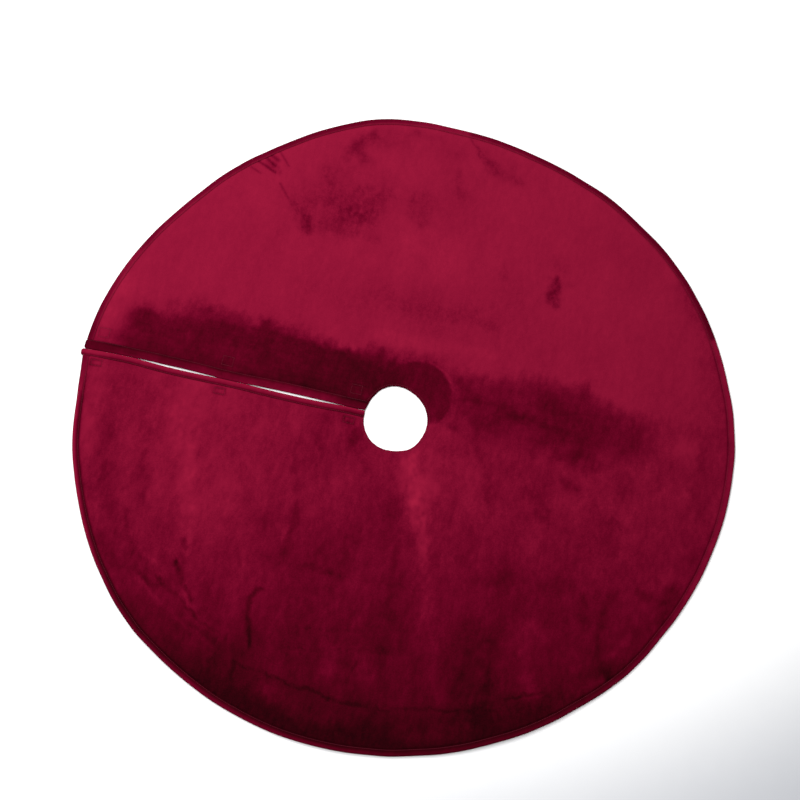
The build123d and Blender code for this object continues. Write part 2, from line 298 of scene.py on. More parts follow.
# strokes of a hand over the pile: change of tone, softness, and a path of (x, y, half width)
STROKES = [
    # behind, where the pile lies back and is bright
    (-0.062, 0.9, [(-270, 390, 36), (-205, 398, 54), (-148, 404, 44)]),
    (-0.025, 0.9, [(-240, 470, 22), (-170, 486, 26), (-120, 470, 18)]),
    (-0.045, 0.9, [(-190, 383, 24), (-152, 386, 22), (-142, 412, 18)]),
    (-0.075, 0.8, [(-288, 374, 11), (-266, 352, 15), (-250, 338, 10)]),
    (-0.095, 0.8, [(-214, 506, 10), (-198, 532, 15), (-178, 556, 13)]),
    (-0.045, 0.9, [(-172, 548, 18), (-112, 552, 16)]),
    (-0.020, 0.9, [(-60, 560, 14), (0, 556, 14)]),
    (-0.065, 0.9, [(-68, 448, 17), (-60, 412, 25), (-46, 396, 16)]),
    (-0.022, 0.9, [(-100, 430, 40), (-20, 440, 40)]),
    (-0.045, 0.9, [(6, 520, 8), (10, 484, 16), (22, 470, 12)]),
    (-0.085, 0.7, [(8, 592, 2), (40, 562, 6), (64, 544, 13), (76, 538, 9)]),
    (-0.055, 0.8, [(94, 534, 13), (126, 524, 7)]),
    (-0.030, 0.8, [(96, 560, 12), (104, 556, 14)]),
    (-0.115, 0.55, [(232, 346, 5), (231, 318, 14), (232, 300, 16), (241, 288, 9)]),
    (-0.060, 0.7, [(234, 330, 8), (228, 306, 11)]),
    (-0.030, 0.8, [(128, 338, 9), (132, 322, 9)]),
    (-0.028, 0.8, [(-60, 222, 14), (60, 227, 17), (142, 222, 9)]),
    (-0.018, 0.8, [(-90, 236, 34), (150, 240, 30)]),
    (-0.014, 0.9, [(-300, 240, 30), (-140, 220, 40), (0, 205, 30)]),
    (0.025, 0.9, [(-70, 158, 12), (60, 158, 14), (150, 160, 10)]),
    (-0.040, 0.9, [(572, 78, 12), (562, 56, 10)]),
    (-0.060, 0.8, [(-200, 530, 12), (-178, 502, 10)]),
    (-0.080, 0.8, [(-364, 453, 7), (-340, 440, 6)]),
    (-0.045, 0.8, [(-252, 462, 12), (-236, 440, 14)]),
    (-0.045, 0.8, [(-180, 438, 14), (-124, 438, 12)]),
    (-0.040, 0.8, [(-216, 402, 14), (-158, 392, 12)]),
    (-0.050, 0.8, [(-262, 344, 12), (-212, 350, 16), (-126, 344, 15)]),
    (-0.035, 0.8, [(20, 580, 10), (48, 566, 14)]),
    (-0.030, 0.8, [(-90, 576, 10), (-50, 580, 10)]),
    (-0.040, 0.8, [(222, 372, 10), (246, 368, 10)]),
    (0.030, 0.8, [(-76, 408, 26), (20, 330, 50)]),
    (-0.045, 0.8, [(596, 40, 26), (582, 180, 30), (540, 290, 26), (470, 382, 16)]),
    (0.045, 0.8, [(-582, 70, 26), (-572, 150, 22)]),
    (-0.070, 0.8, [(-412, 142, 14), (-398, 134, 12)]),
    (-0.070, 0.8, [(-292, 136, 9), (-278, 132, 9)]),
    (-0.075, 0.8, [(-82, 132, 12), (-68, 124, 12)]),
    (-0.035, 0.8, [(-476, 128, 10), (-300, 136, 9), (-180, 134, 9)]),
    (-0.035, 0.9, [(-186, 380, 14), (-134, 374, 14)]),
    (0.025, 0.9, [(-66, 350, 24), (-50, 296, 24)]),
    (-0.030, 0.8, [(218, 344, 9), (258, 338, 10)]),
    (-0.035, 0.8, [(-144, 572, 10), (-98, 580, 10)]),
    (-0.038, 0.8, [(212, 140, 11), (300, 138, 11)]),
    # where the pile is brushed dark, on both sides of the hole
    (0.035, 0.9, [(-24, 142, 13), (-10, 98, 13)]),
    (-0.045, 0.8, [(212, 60, 12), (266, 58, 12)]),
    (-0.050, 0.8, [(-550, 36, 10), (-537, 14, 9)]),
    (-0.045, 0.8, [(-298, 24, 9), (-256, 22, 10)]),
    (0.070, 0.8, [(64, 26, 9), (70, 8, 8)]),
    (0.035, 0.8, [(408, 20, 16), (436, 14, 14)]),
    (0.045, 0.8, [(-474, 96, 16), (-448, 92, 16)]),
    (0.045, 0.8, [(-530, 70, 9), (-508, 36, 14)]),
    (0.040, 0.8, [(-376, 52, 12), (-322, 50, 14)]),
    (0.035, 0.8, [(-206, 114, 8), (-112, 112, 9)]),
    (0.060, 0.8, [(-30, 122, 12), (-14, 118, 12)]),
    (0.080, 0.8, [(-86, 36, 14), (-68, 34, 12)]),
    (-0.070, 0.8, [(78, 18, 16), (112, 6, 10)]),
    (-0.050, 0.8, [(96, 96, 12), (140, 62, 13)]),
    (-0.065, 0.8, [(202, 62, 15), (220, 56, 14)]),
    (-0.055, 0.8, [(270, 92, 16), (318, 84, 15)]),
    (0.035, 0.8, [(420, 90, 20), (452, 76, 20)]),
    (0.040, 0.8, [(500, 66, 22), (590, 76, 26)]),
    (0.050, 0.8, [(320, 14, 14), (344, -2, 12)]),
    # along the left and the front rim
    (-0.090, 0.8, [(-516, -198, 18), (-500, -246, 22)]),
    (-0.065, 0.8, [(-468, -340, 14), (-412, -388, 12)]),
    (0.045, 0.8, [(-524, -30, 18), (-506, -96, 20)]),
    (0.040, 0.8, [(-446, -16, 22), (-416, -72, 18)]),
    (-0.045, 0.8, [(-450, -116, 12), (-440, -142, 13)]),
    (-0.045, 0.8, [(-418, -196, 9), (-408, -258, 9)]),
    (0.050, 0.8, [(-382, -364, 6), (-344, -372, 6)]),
    (-0.050, 0.8, [(-392, -384, 8), (-346, -402, 8)]),
    (0.065, 0.8, [(-288, -408, 9), (-266, -434, 10), (-216, -458, 8)]),
    (-0.035, 0.8, [(-262, -456, 8), (-202, -482, 8)]),
    (-0.045, 0.8, [(-200, -484, 20), (-158, -478, 16)]),
    (0.080, 0.8, [(-104, -538, 14), (-62, -548, 16)]),
    (0.050, 0.8, [(-190, -522, 14), (-110, -546, 14)]),
    (0.050, 0.8, [(10, -560, 14), (50, -556, 12)]),
    (0.070, 0.8, [(128, -552, 14), (186, -546, 16), (244, -526, 14)]),
    (0.055, 0.8, [(-58, -566, 12), (0, -568, 12)]),
    (-0.060, 0.8, [(-524, -212, 11), (-514, -236, 11)]),
    (-0.055, 0.8, [(-418, -352, 9), (-398, -366, 8)]),
    (-0.050, 0.8, [(496, -212, 12), (548, -232, 12)]),
    (-0.050, 0.8, [(40, -512, 9), (84, -522, 9)]),
    (-0.030, 0.9, [(196, -44, 26), (288, -54, 26)]),
    (0.040, 0.8, [(590, 96, 12), (596, 30, 12)]),
    (0.060, 0.8, [(410, -408, 11), (456, -386, 11)]),
    (-0.080, 0.8, [(554, -196, 12), (538, -256, 14), (506, -288, 12)]),
    (0.055, 0.7, [(-568, -20, 15), (-558, -100, 15), (-537, -180, 14), (-512, -240, 11)]),
    (-0.035, 0.8, [(-512, -40, 16), (-508, -120, 17), (-492, -210, 17), (-464, -290, 12), (-442, -330, 8)]),
    (-0.050, 0.8, [(-440, -170, 12), (-426, -240, 17), (-414, -282, 8)]),
    (-0.075, 0.7, [(-434, -284, 6), (-426, -318, 6), (-402, -350, 6), (-370, -367, 5), (-344, -372, 4)]),
    (0.045, 0.7, [(-382, -350, 4), (-352, -362, 3)]),
    (-0.045, 0.8, [(-402, -374, 12), (-352, -394, 14), (-322, -386, 10)]),
    (0.055, 0.8, [(-395, -386, 4), (-330, -426, 4), (-260, -463, 4), (-206, -487, 3)]),
    (-0.060, 0.8, [(-382, -366, 2.6), (-300, -411, 2.6), (-250, -446, 2.6), (-214, -456, 2.2)]),
    (-0.050, 0.8, [(-345, -388, 2.6), (-280, -427, 2.6), (-200, -466, 2.6)]),
    (0.055, 0.8, [(462, -342, 7), (516, -276, 7), (542, -234, 6)]),
    (-0.060, 0.8, [(592, -180, 6), (562, -260, 9), (520, -322, 9), (490, -356, 7)]),
    # down the front
    (0.075, 0.65, [(-388, -6, 27), (-374, -100, 26), (-347, -200, 20), (-320, -288, 14), (-307, -330, 8)]),
    (0.025, 0.8, [(-300, -50, 100), (-262, -220, 78)]),
    (-0.045, 0.8, [(-157, -56, 12), (-151, -110, 10), (-149, -168, 8)]),
    (-0.060, 0.8, [(-141, -200, 9), (-136, -248, 10), (-129, -288, 7)]),
    (-0.040, 0.9, [(-124, -36, 26), (-108, -112, 18)]),
    (-0.045, 0.9, [(-72, -78, 28), (-30, -98, 18)]),
    (-0.035, 0.9, [(-62, -282, 45), (6, -232, 52), (20, -170, 34)]),
    (-0.050, 0.8, [(-92, -304, 7), (-62, -306, 9), (-28, -309, 6)]),
    (-0.025, 0.8, [(-165, -305, 2.2), (-20, -310, 2.2), (120, -300, 2.2)]),
    (0.030, 0.8, [(-34, -438, 13), (52, -436, 13)]),
    (0.035, 0.8, [(-12, -472, 9), (62, -480, 9)]),
    (-0.040, 0.8, [(-108, -460, 2), (-10, -440, 2), (102, -420, 2)]),
    (-0.040, 0.8, [(-86, -418, 2), (-20, -404, 2), (30, -392, 2)]),
    (0.058, 0.8, [(44, -72, 34), (74, -138, 29), (96, -212, 23), (121, -290, 20), (148, -370, 18),
                  (186, -470, 14)]),
    (0.062, 0.8, [(46, -72, 26), (74, -138, 20), (94, -212, 13), (108, -250, 9)]),
    (0.045, 0.8, [(92, -70, 36), (152, -88, 36), (164, -118, 20)]),
    (-0.060, 0.8, [(186, -48, 8), (195, -90, 9), (213, -132, 7)]),
    (-0.045, 0.8, [(54, -226, 5), (65, -330, 8), (72, -390, 13), (78, -442, 12)]),
    (-0.070, 0.7, [(74, -418, 8), (84, -420, 6)]),
    (-0.080, 0.8, [(228, -345, 26), (240, -412, 42), (255, -466, 44)]),
    (-0.045, 0.8, [(262, -405, 9), (268, -440, 9)]),
    (0.060, 0.7, [(314, -322, 19), (322, -382, 17), (346, -428, 17)]),
    (-0.055, 0.8, [(428, -244, 17), (441, -288, 16)]),
    (-0.070, 0.8, [(444, -308, 8), (450, -360, 10), (476, -382, 12)]),
    (0.030, 0.9, [(446, -100, 56), (500, -64, 46)]),
    (0.045, 0.8, [(532, -4, 13), (548, -32, 12)]),
    (0.030, 0.8, [(545, -118, 10), (545, -192, 10)]),
    (-0.035, 0.8, [(577, -56, 11), (576, -134, 10)]),
    (-0.020, 0.9, [(230, -236, 18), (292, -238, 18)]),
    (-0.040, 0.8, [(428, -92, 2.2), (452, -122, 2.2)]),
    (-0.075, 0.8, [(312, 2, 12), (372, 0, 13)]),
    (-0.050, 0.8, [(345, 36, 8), (344, -24, 10)]),
    (-0.050, 0.8, [(148, -4, 7), (166, -38, 7)]),
    (-0.050, 0.8, [(-274, -136, 16), (-264, -164, 16)]),
    (-0.025, 0.9, [(-232, -196, 26), (-242, -300, 26), (-250, -380, 20)]),
    (-0.055, 0.8, [(-264, -392, 16), (-236, -402, 14)]),
    (0.040, 0.8, [(-174, -52, 13), (-156, -70, 12)]),
    (-0.075, 0.8, [(-134, -70, 10), (-128, -86, 10)]),
    (-0.045, 0.8, [(-130, -112, 13), (-124, -138, 10)]),
    (-0.080, 0.8, [(-88, -18, 18), (-70, -52, 18)]),
    (-0.030, 0.9, [(-190, -232, 20), (-148, -226, 16)]),
    (-0.050, 0.8, [(-172, -410, 10), (-142, -450, 12)]),
    (0.030, 0.9, [(-150, -340, 30), (-112, -392, 24)]),
    (0.045, 0.8, [(-28, -438, 16), (-14, -480, 18)]),
    (0.030, 0.9, [(-78, -146, 18), (-44, -156, 16)]),
    (-0.045, 0.8, [(60, -68, 11), (70, -82, 11)]),
    (0.055, 0.8, [(112, -112, 16), (116, -146, 15)]),
    (0.055, 0.8, [(64, -156, 13), (74, -172, 13)]),
    (-0.065, 0.8, [(266, -80, 12), (284, -92, 15), (302, -116, 10)]),
    (-0.070, 0.8, [(326, -40, 9), (352, -50, 12)]),
    (-0.040, 0.8, [(372, -12, 12), (392, -4, 12)]),
    (0.035, 0.9, [(412, -66, 18), (446, -76, 18)]),
    (-0.055, 0.8, [(206, -262, 13), (262, -240, 17)]),
    (-0.040, 0.8, [(334, -240, 15), (372, -230, 13)]),
    (-0.035, 0.9, [(424, -106, 14), (444, -180, 18)]),
    (-0.065, 0.8, [(404, -252, 10), (406, -284, 12)]),
    (-0.055, 0.8, [(446, -222, 8), (452, -288, 9)]),
    (-0.050, 0.8, [(268, -322, 14), (262, -372, 15)]),
    (0.035, 0.9, [(344, -330, 18), (356, -358, 16)]),
    (-0.045, 0.8, [(82, -362, 11), (112, -402, 15)]),
    (-0.045, 0.8, [(168, -378, 9), (178, -422, 10)]),
    (-0.045, 0.8, [(212, -426, 11), (214, -484, 13)]),
    (0.050, 0.8, [(50, -460, 10), (70, -470, 10)]),
    (-0.045, 0.8, [(-66, -18, 12), (-58, -40, 11)]),
    (0.032, 0.9, [(-424, -92, 22), (-352, -104, 22)]),
    (-0.030, 0.9, [(-464, -176, 16), (-452, -226, 16)]),
    (-0.030, 0.9, [(216, -104, 20), (304, -124, 22)]),
    (-0.035, 0.9, [(-280, -262, 14), (-252, -258, 14)]),
    (-0.032, 0.9, [(412, -214, 13), (434, -230, 13)]),
    (-0.035, 0.9, [(418, -332, 14), (460, -344, 14)]),
    (-0.050, 0.8, [(256, -404, 14), (262, -438, 15)]),
    (-0.028, 0.9, [(-388, -336, 13), (-376, -384, 13)]),
    (0.025, 0.9, [(58, -190, 16), (64, -330, 15)]),
    (0.045, 0.8, [(-66, -583, 9), (12, -585, 9)]),
    # the line where the cloth was folded in its bag, low at the front
    (-0.100, 0.7, [(-175, -500, 2.6), (-120, -508, 2.8), (-60, -515, 3), (0, -522, 3.4), (62, -522, 4)]),
    (-0.080, 0.7, [(-172, -500, 4), (-171, -532, 4)]),
    (-0.080, 0.7, [(-219, -507, 3), (-211, -498, 3), (-204, -510, 2.4)]),
    (-0.065, 0.7, [(92, -521, 2.4), (200, -498, 2.8), (292, -477, 2.4)]),
    (-0.080, 0.7, [(298, -451, 2.6), (340, -438, 2.6), (372, -419, 2.4)]),
    (0.035, 0.7, [(322, -449, 2.6), (372, -430, 2.4)]),
    (-0.070, 0.7, [(28, -490, 3), (36, -450, 2.4)]),
    # small dark dashes
    (-0.150, 0.5, [(-322, -352, 4.5), (-310, -370, 6.5), (-302, -388, 5)]),
    (-0.130, 0.5, [(-292, -391, 3.6), (-277, -412, 4)]),
    (-0.110, 0.6, [(-321, -310, 4.5), (-313, -320, 4.5)]),
    (-0.115, 0.55, [(-157, -364, 3.6), (-169, -367, 5), (-176, -383, 6), (-172, -406, 5.6),
                    (-152, -463, 4.4)]),
]

# fine creases at the left back: start, end, half width, change of tone, and height (below 0 sunk); the
# change of tone is painted shade in the sunk crease
MARKS = [
    ((-384, 452), (-346, 436), 3.0, -0.14, -0.7),
    ((-372, 464), (-350, 450), 3.0, -0.12, -0.6),
    ((-362, 470), (-346, 462), 4.0, -0.13, -0.7),
    ((-352, 486), (-324, 456), 2.4, -0.08, -0.4),
    ((-394, 436), (-374, 428), 2.6, -0.09, -0.4),
    ((-330, 415), (-308, 390), 2.6, -0.08, -0.4),
]


def near_path(x, y, path):
    """Distance from a path of (x, y, half width), as a share of the half width there."""
    nearest = np.full(np.shape(x), np.inf)
    for start, end in zip(path[:-1], path[1:]):
        away, share = from_line(x, y, start, end)
        nearest = np.minimum(nearest, away / (start[2] + share * (end[2] - start[2])))
    return nearest


def dark_behind_slit(x, y):
    """The pile brushed back along the slit, up to a ragged edge."""
    top = np.interp(x, [-548, -520, -480, -430, -400, -350, -310, -285, -260, -200, -150, -100, -60, 0, 60],
                    [92, 104, 104, 112, 120, 126, 120, 128, 120, 118, 114, 108, 118, 126, 128])
    soft = np.interp(x, [-480, -430, -360, -300, -100, -40], [12, 32, 30, 20, 16, 26])
    ends = between(x, -552, -520) * between(x, 80, 20)
    return ends * between(y, top + soft, top - soft) * (y > SLIT_Y)


def dark_beside_hole(x, y):
    """The pile brushed dark to the right of the hole, between two ragged edges."""
    top = np.interp(x, [60, 120, 210, 320, 336, 350, 400, 460, 500],
                    [108, 112, 128, 136, 146, 126, 112, 104, 88])
    low = np.interp(x, [60, 130, 250, 400, 500], [40, 10, -6, 12, 40])
    ends = between(x, 530, 420) * between(x, 50, 110)
    return ends * between(y, top + 22, top - 22) * between(y, low - 26, low + 26)


def front_tone(x, y):
    """In front of the slit and the hole the pile is darker towards the front rim."""
    tone = np.interp(y, [-610, -560, -510, -440, -360, -280, -200, -120, -40, 60],
                     [0.260, 0.302, 0.352, 0.374, 0.400, 0.432, 0.460, 0.485, 0.490, 0.50])
    tone += 0.055 * between(x, -60, -260) * between(y, -80, -240) * between(y, -470, -390)
    tone -= 0.025 * between(x, -330, -420) * between(y, -340, -400)
    return tone - 0.025 * between(x, 240, 420) * between(y, -200, -300)


def painted_light_falloff(x, y):
    """Painted shade: the pile is painted a little darker from the left back to the right front, where the
    light falls off.
    """
    return -0.010 + 5.5e-5 * y - 3.0e-5 * x


PRINT_CENTRE, PRINT_RADIUS = (26, 54), 66


def disc_print(x, y):
    """The round mark pressed into the pile behind the hole, as its dark share and its bright edge."""
    angle, radius = polar(x, y, PRINT_CENTRE)
    dark = between(radius, PRINT_RADIUS + 2, PRINT_RADIUS - 2) * between(y, 0, 24)
    edge = hump(radius - PRINT_RADIUS - 3, 2.6) * between(angle, 5, 40) * between(angle, 165, 120)
    return dark, edge


def from_box_line(x, y):
    """Distance from the stitched boxes' lines, less than 0 inside a box."""
    nearest = np.full(np.shape(x), 1e3)
    for left, low, right, high in STITCH_BOXES.values():
        off_x = np.abs(x - (left + right) / 2) - (right - left) / 2
        off_y = np.abs(y - (low + high) / 2) - (high - low) / 2
        away = np.where((off_x > 0) & (off_y > 0), np.hypot(off_x, off_y), np.maximum(off_x, off_y))
        nearest = np.where(np.abs(away) < np.abs(nearest), away, nearest)
    return nearest


def box_shade(x, y):
    """The pile is painted dark along the stitched lines that hold the tapes, as shade in their dents, most
    of all in front of the slit.
    """
    side = np.where(y > SLIT_Y, 1, -1)
    middle, opening, near = slit_place(x, y)
    line = hump(from_box_line(x, y - (middle + side * opening) * near), 2.2)
    return np.where(side > 0, -0.03, -0.11) * line


def nap(x, y):
    """Tone of the velvet at points of the laid skirt: the pile's brushed patches, with painted light and
    shade added.
    """
    tuft = 4.5 * value_noise(x, 0.3 * y, 9, 43) + 3.5 * value_noise(x, 0.35 * y, 4.5, 44)
    ragged_x = x + 5 * cloud(x, y, 40, 41) + 2.5 * cloud(x, y, 9, 46)
    ragged_y = y + 5 * cloud(x, y, 40, 47) + 2.5 * cloud(x, y, 9, 50)
    front = front_tone(x, y)
    behind = between(ragged_y + tuft, 90, 135)
    tone = front + (BRIGHT_TONE - front) * behind
    tone += 0.010 * behind * between(x, 0, 300)
    dark = dark_behind_slit(ragged_x, ragged_y + tuft)
    streaks = value_noise(0.12 * x, y, 4.5, 53) + 0.6 * value_noise(0.3 * x, y, 2.6, 54)
    depth = 0.335 - 0.055 * between(x, -290, -170) - 0.035 * between(y, 62, 28) + 0.014 * streaks
    tone += (depth - tone) * dark
    tone += (0.385 + 0.008 * streaks - tone) * 0.9 * dark_beside_hole(ragged_x, ragged_y + tuft)
    arch = near_path(ragged_x, ragged_y, [(104, 64, 6), (165, 76, 7), (232, 54, 9), (330, 48, 7)])
    tone -= 0.035 * hump(arch, 1)
    dark, edge = disc_print(x, y)
    tone += (0.345 - 0.08 * between(x, 30, -30) - tone) * dark + 0.05 * edge
    patchy = 0.85 + (0.30 - 0.16 * behind) * value_noise(x, 0.6 * y, 16, 56)
    patchy += (0.30 - 0.10 * behind) * value_noise(x, 0.7 * y, 6, 57)
    patchy += 0.30 * behind * value_noise(x, 0.8 * y, 3.2, 58)
    for change, soft, path in STROKES:
        steady = 0.45 if path[0][2] < 7 else 0      # narrow strokes keep their shape better
        u, v = ragged_x + steady * (x - ragged_x), ragged_y + steady * (y - ragged_y) + 0.5 * tuft
        tone += change * patchy * np.exp(-(near_path(u, v, path) ** (4 - 2.2 * soft)))
    # the creases' change of tone is painted shade
    for start, end, half_width, change, _ in MARKS:
        tone += change * hump(from_line(x, y, start, end)[0], half_width)
    # painted shade: in the groove along the rim binding, in the dents of the stitched lines, and where the
    # light falls off towards the right front
    tone += rim_shade(x, y) + box_shade(x, y) + painted_light_falloff(x, y)
    in_front = 1 - behind
    tone += (0.012 + 0.010 * in_front) * cloud(x, 0.6 * y, 60, 61, 2)
    tone += (0.008 + 0.014 * in_front) * cloud(x, 0.45 * y, 18, 64, 3)
    return np.clip(tone, DARKEST, BRIGHTEST)


def from_laid_rim(x, y):
    """Angle about the rim's centre, and how far in points of the laid skirt are from its edge."""
    angle, radius = polar(x, y, RIM_CENTRE)
    return angle, RIM_RADIUS + uneven_rim(angle) - radius


def rim_shade(x, y):
    """The pile near the front rim: dark low down, with painted shade in the groove along the binding."""
    angle, from_rim = from_laid_rim(x, y)
    reach = np.interp(angle, [-150, -130, -118, -108, -98, -90, -84, -70, -60, -50, -40, -30],
                      [14, 18, 34, 68, 62, 36, 62, 64, 52, 44, 30, 14])
    low = between(angle, -138, -112) * between(angle, -30, -45)
    ragged = from_rim - RIM_BAND + 6 * cloud(x, y, 40, 67)
    shade = -0.075 * low * between(ragged, 1.3 * reach, 0.4 * reach)
    # painted shade along the binding's inner edge, where the cloth dips
    groove = np.interp(angle, [-176, -168, -140, -120, -60, -40, 26, 29],
                       [0, 0.12, 0.12, 0.07, 0.06, 0.05, 0.07, 0])
    return shade - groove * hump(from_rim - RIM_BAND, 2.6)


# tone of the rim binding's outer and inner part, by angle about the rim's centre, with the light and shade
# that fall on its roll painted in
RIM_OUTER = [
    (-180, 0.40), (-174, 0.49), (-168, 0.57), (-155, 0.56), (-145, 0.51), (-130, 0.37), (-115, 0.42),
    (-100, 0.39), (-90, 0.36), (-75, 0.29), (-60, 0.32), (-45, 0.33), (-30, 0.42), (-15, 0.48), (0, 0.49),
    (28.4, 0.51), (28.6, 0.33), (45, 0.36), (60, 0.355), (75, 0.38), (90, 0.39), (91, 0.51), (97, 0.49),
    (104, 0.385), (122, 0.38), (138, 0.405), (150, 0.455), (156, 0.42), (158.5, 0.42), (159.5, 0.50),
    (165, 0.48), (170, 0.44), (176, 0.36), (180, 0.36),
]
RIM_INNER = [
    (-180, 0.46), (-175, 0.45), (-170, 0.29), (-150, 0.26), (-130, 0.19), (-115, 0.24), (-90, 0.17),
    (-75, 0.20), (-45, 0.23), (-30, 0.30), (-15, 0.43), (0, 0.45), (28.4, 0.47), (28.6, 0.40), (45, 0.43),
    (75, 0.46), (90, 0.50), (91, 0.53), (97, 0.53), (104, 0.49), (122, 0.45), (138, 0.50), (150, 0.555),
    (158.5, 0.51), (165, 0.58), (170, 0.55), (176, 0.44), (180, 0.44),
]


def rim_binding_tone_and_painted_light(x, y):
    """The rim binding's pile lies darker than the cloth behind; in front a painted highlight brightens its
    roll and painted shade darkens its sewn edge.
    """
    angle, from_edge = from_laid_rim(x, y)
    outer, inner = np.interp(angle, *zip(*RIM_OUTER)), np.interp(angle, *zip(*RIM_INNER))
    flat = np.where((angle > -20) | (angle < -172), 6.5, 2.5)
    return outer + (inner - outer) * between(from_edge, flat, 10.5) + 0.012 * cloud(x, y, 22, 71)


def from_laid_slit(x, y, side):
    """How far points of the laid skirt are from the slit's edge on that side."""
    middle, opening, _ = slit_place(x, y)
    edge = (BACK_EDGE - FRONT_EDGE) / 2 + opening
    return side * (y - SLIT_Y - middle) - edge


def front_band_painted_light_and_shade(x, y):
    """Painted highlight along the slit, where the roll stands high, and painted shade where it is sewn down.
    """
    from_edge = from_laid_slit(x, y, -1)
    tone = np.interp(from_edge, [0, 2, 4, 6, 8, 9.6, 12.5], [0.53, 0.565, 0.54, 0.50, 0.465, 0.37, 0.34])
    tone += 0.05 * between(x, -545, -575) * between(from_edge, 2, 6)
    tone -= 0.08 * between(x, -110, -84) * between(from_edge, 2, 6)
    return tone + 0.015 * cloud(x, y, 26, 75)


def back_band_tone_and_painted_light(x, y):
    """Dark all along, and brightest in the middle; near its outer end a painted highlight runs along the
    slit and painted shade along the sewn edge.
    """
    from_edge = from_laid_slit(x, y, 1)
    tone = np.interp(x, [-604, -560, -500, -430, -330, -250, -120, -95, -60],
                     [0.30, 0.32, 0.335, 0.355, 0.375, 0.395, 0.385, 0.31, 0.29])
    tone += 0.05 * between(from_edge, 7, 0) * between(x, -590, -540)
    tone -= 0.12 * between(from_edge, 13.8, 15.4) * between(x, -604, -540)
    return tone + 0.03 * cloud(0.5 * x, y, 12, 78)


def even_tone(x, y):
    return 0.42 + 0.01 * cloud(x, y, 20, 81)


# ---- materials ----

def set_inputs(tree, node, inputs):
    """Gives a node's inputs their values, which are numbers, colours or the outputs of other nodes."""
    for socket, value in inputs.items():
        if isinstance(value, bpy.types.NodeSocket):
            tree.links.new(value, node.inputs[socket])
        else:
            node.inputs[socket].default_value = value


def add_node(tree, kind, inputs, **settings):
    node = tree.nodes.new(f"ShaderNode{kind}")
    for name, value in settings.items():
        setattr(node, name, value)
    set_inputs(tree, node, inputs)
    return node.outputs


def new_material(name):
    material = bpy.data.materials.new(name)
    material.use_nodes = True
    return material, material.node_tree


def shaded(material, inputs):
    """Sets the inputs of the material's shader, and gives the material back."""
    set_inputs(material.node_tree, material.node_tree.nodes["Principled BSDF"], inputs)
    return material


def noise(tree, place, scale, detail):
    return add_node(tree, "TexNoise", {"Vector": place, "Scale": scale, "Detail": detail})["Fac"]


def rest_place(tree):
    """Where the point lies at rest, in metres, so that a texture stays put as the cloth bends."""
    return add_node(tree, "Attribute", {}, attribute_name="rest")["Vector"]


def calculated(tree, operation, *values):
    """A sum or product of numbers and outputs."""
    return add_node(tree, "Math", dict(enumerate(values)), operation=operation)[0]


def added(tree, first, second, share):
    """first + (second - 0.5) * share"""
    change = calculated(tree, "MULTIPLY_ADD", second, share, -share / 2)
    return calculated(tree, "ADD", first, change)


def bump(tree, height, strength, depth, **under):
    inputs = {"Height": height, "Strength": strength, "Distance": depth, **under}
    return add_node(tree, "Bump", inputs)["Normal"]


def ramp(tree, factor, stops):
    """A colour for each value of factor, from pairs of value and colour."""
    node = tree.nodes.new("ShaderNodeValToRGB")
    elements = node.color_ramp.elements
    while len(elements) < len(stops):
        elements.new(0.5)
    for element, (place, color) in zip(elements, stops):
        element.position = place
        element.color = (*color, 1)
    set_inputs(tree, node, {"Fac": factor})
    return node.outputs["Color"]


def grey(value):
    return value, value, value


# colour of the pile by its tone
PILE_COLORS = [
    (0.14, (0.0110, 0.0000, 0.0010)),
    (0.22, (0.0263, 0.0000, 0.0022)),
    (0.30, (0.0488, 0.0000, 0.0045)),
    (0.36, (0.0710, 0.0001, 0.0072)),
    (0.42, (0.0980, 0.0006, 0.0110)),
    (0.49, (0.1367, 0.0020, 0.0162)),
    (0.55, (0.1755, 0.0038, 0.0215)),
    (0.60, (0.2123, 0.0056, 0.0260)),
    (0.66, (0.2621, 0.0084, 0.0320)),
]


def velvet_material(name, mottle):
    """Short cut pile: its colour goes with its tone, and it shines a little red at a low angle.

    The pile is more uneven where it is brushed up and dark than where it lies flat and bright.
    """
    material, tree = new_material(name)
    place = rest_place(tree)
    brushed = add_node(tree, "Attribute", {}, attribute_name="tone")["Fac"]
    streaky = add_node(tree, "VectorMath", {0: place, 1: (1.0, 0.5, 1.0)}, operation="MULTIPLY")["Vector"]
    flecks = added(tree, noise(tree, streaky, 130, 3), noise(tree, place, 420, 2), 1.0)
    uneven = ramp(tree, brushed, [(0.49, grey(1.0)), (0.55, grey(0.42))])
    spread = calculated(tree, "MULTIPLY", calculated(tree, "SUBTRACT", flecks, 0.5), uneven)
    tone = calculated(tree, "MULTIPLY_ADD", spread, mottle, brushed)
    pile = noise(tree, place, 1500, 2)
    shade = added(tree, tone, pile, 0.04)
    lumps = bump(tree, noise(tree, place, 240, 2), 0.25, 0.0012)
    return shaded(material, {
        "Base Color": ramp(tree, shade, PILE_COLORS),
        "Roughness": ramp(tree, added(tree, shade, pile, 0.2), [(0.2, grey(0.82)), (0.7, grey(0.98))]),
        "Specular IOR Level": 0.02,
        "Sheen Weight": 0.12,
        "Sheen Roughness": 0.4,
        "Sheen Tint": (1.0, 0.02, 0.13, 1),
        "Normal": bump(tree, pile, 0.4, 0.0004, Normal=lumps),
    })


WAVE_SCALE = 0.314              # scale at which a wave texture repeats once a metre


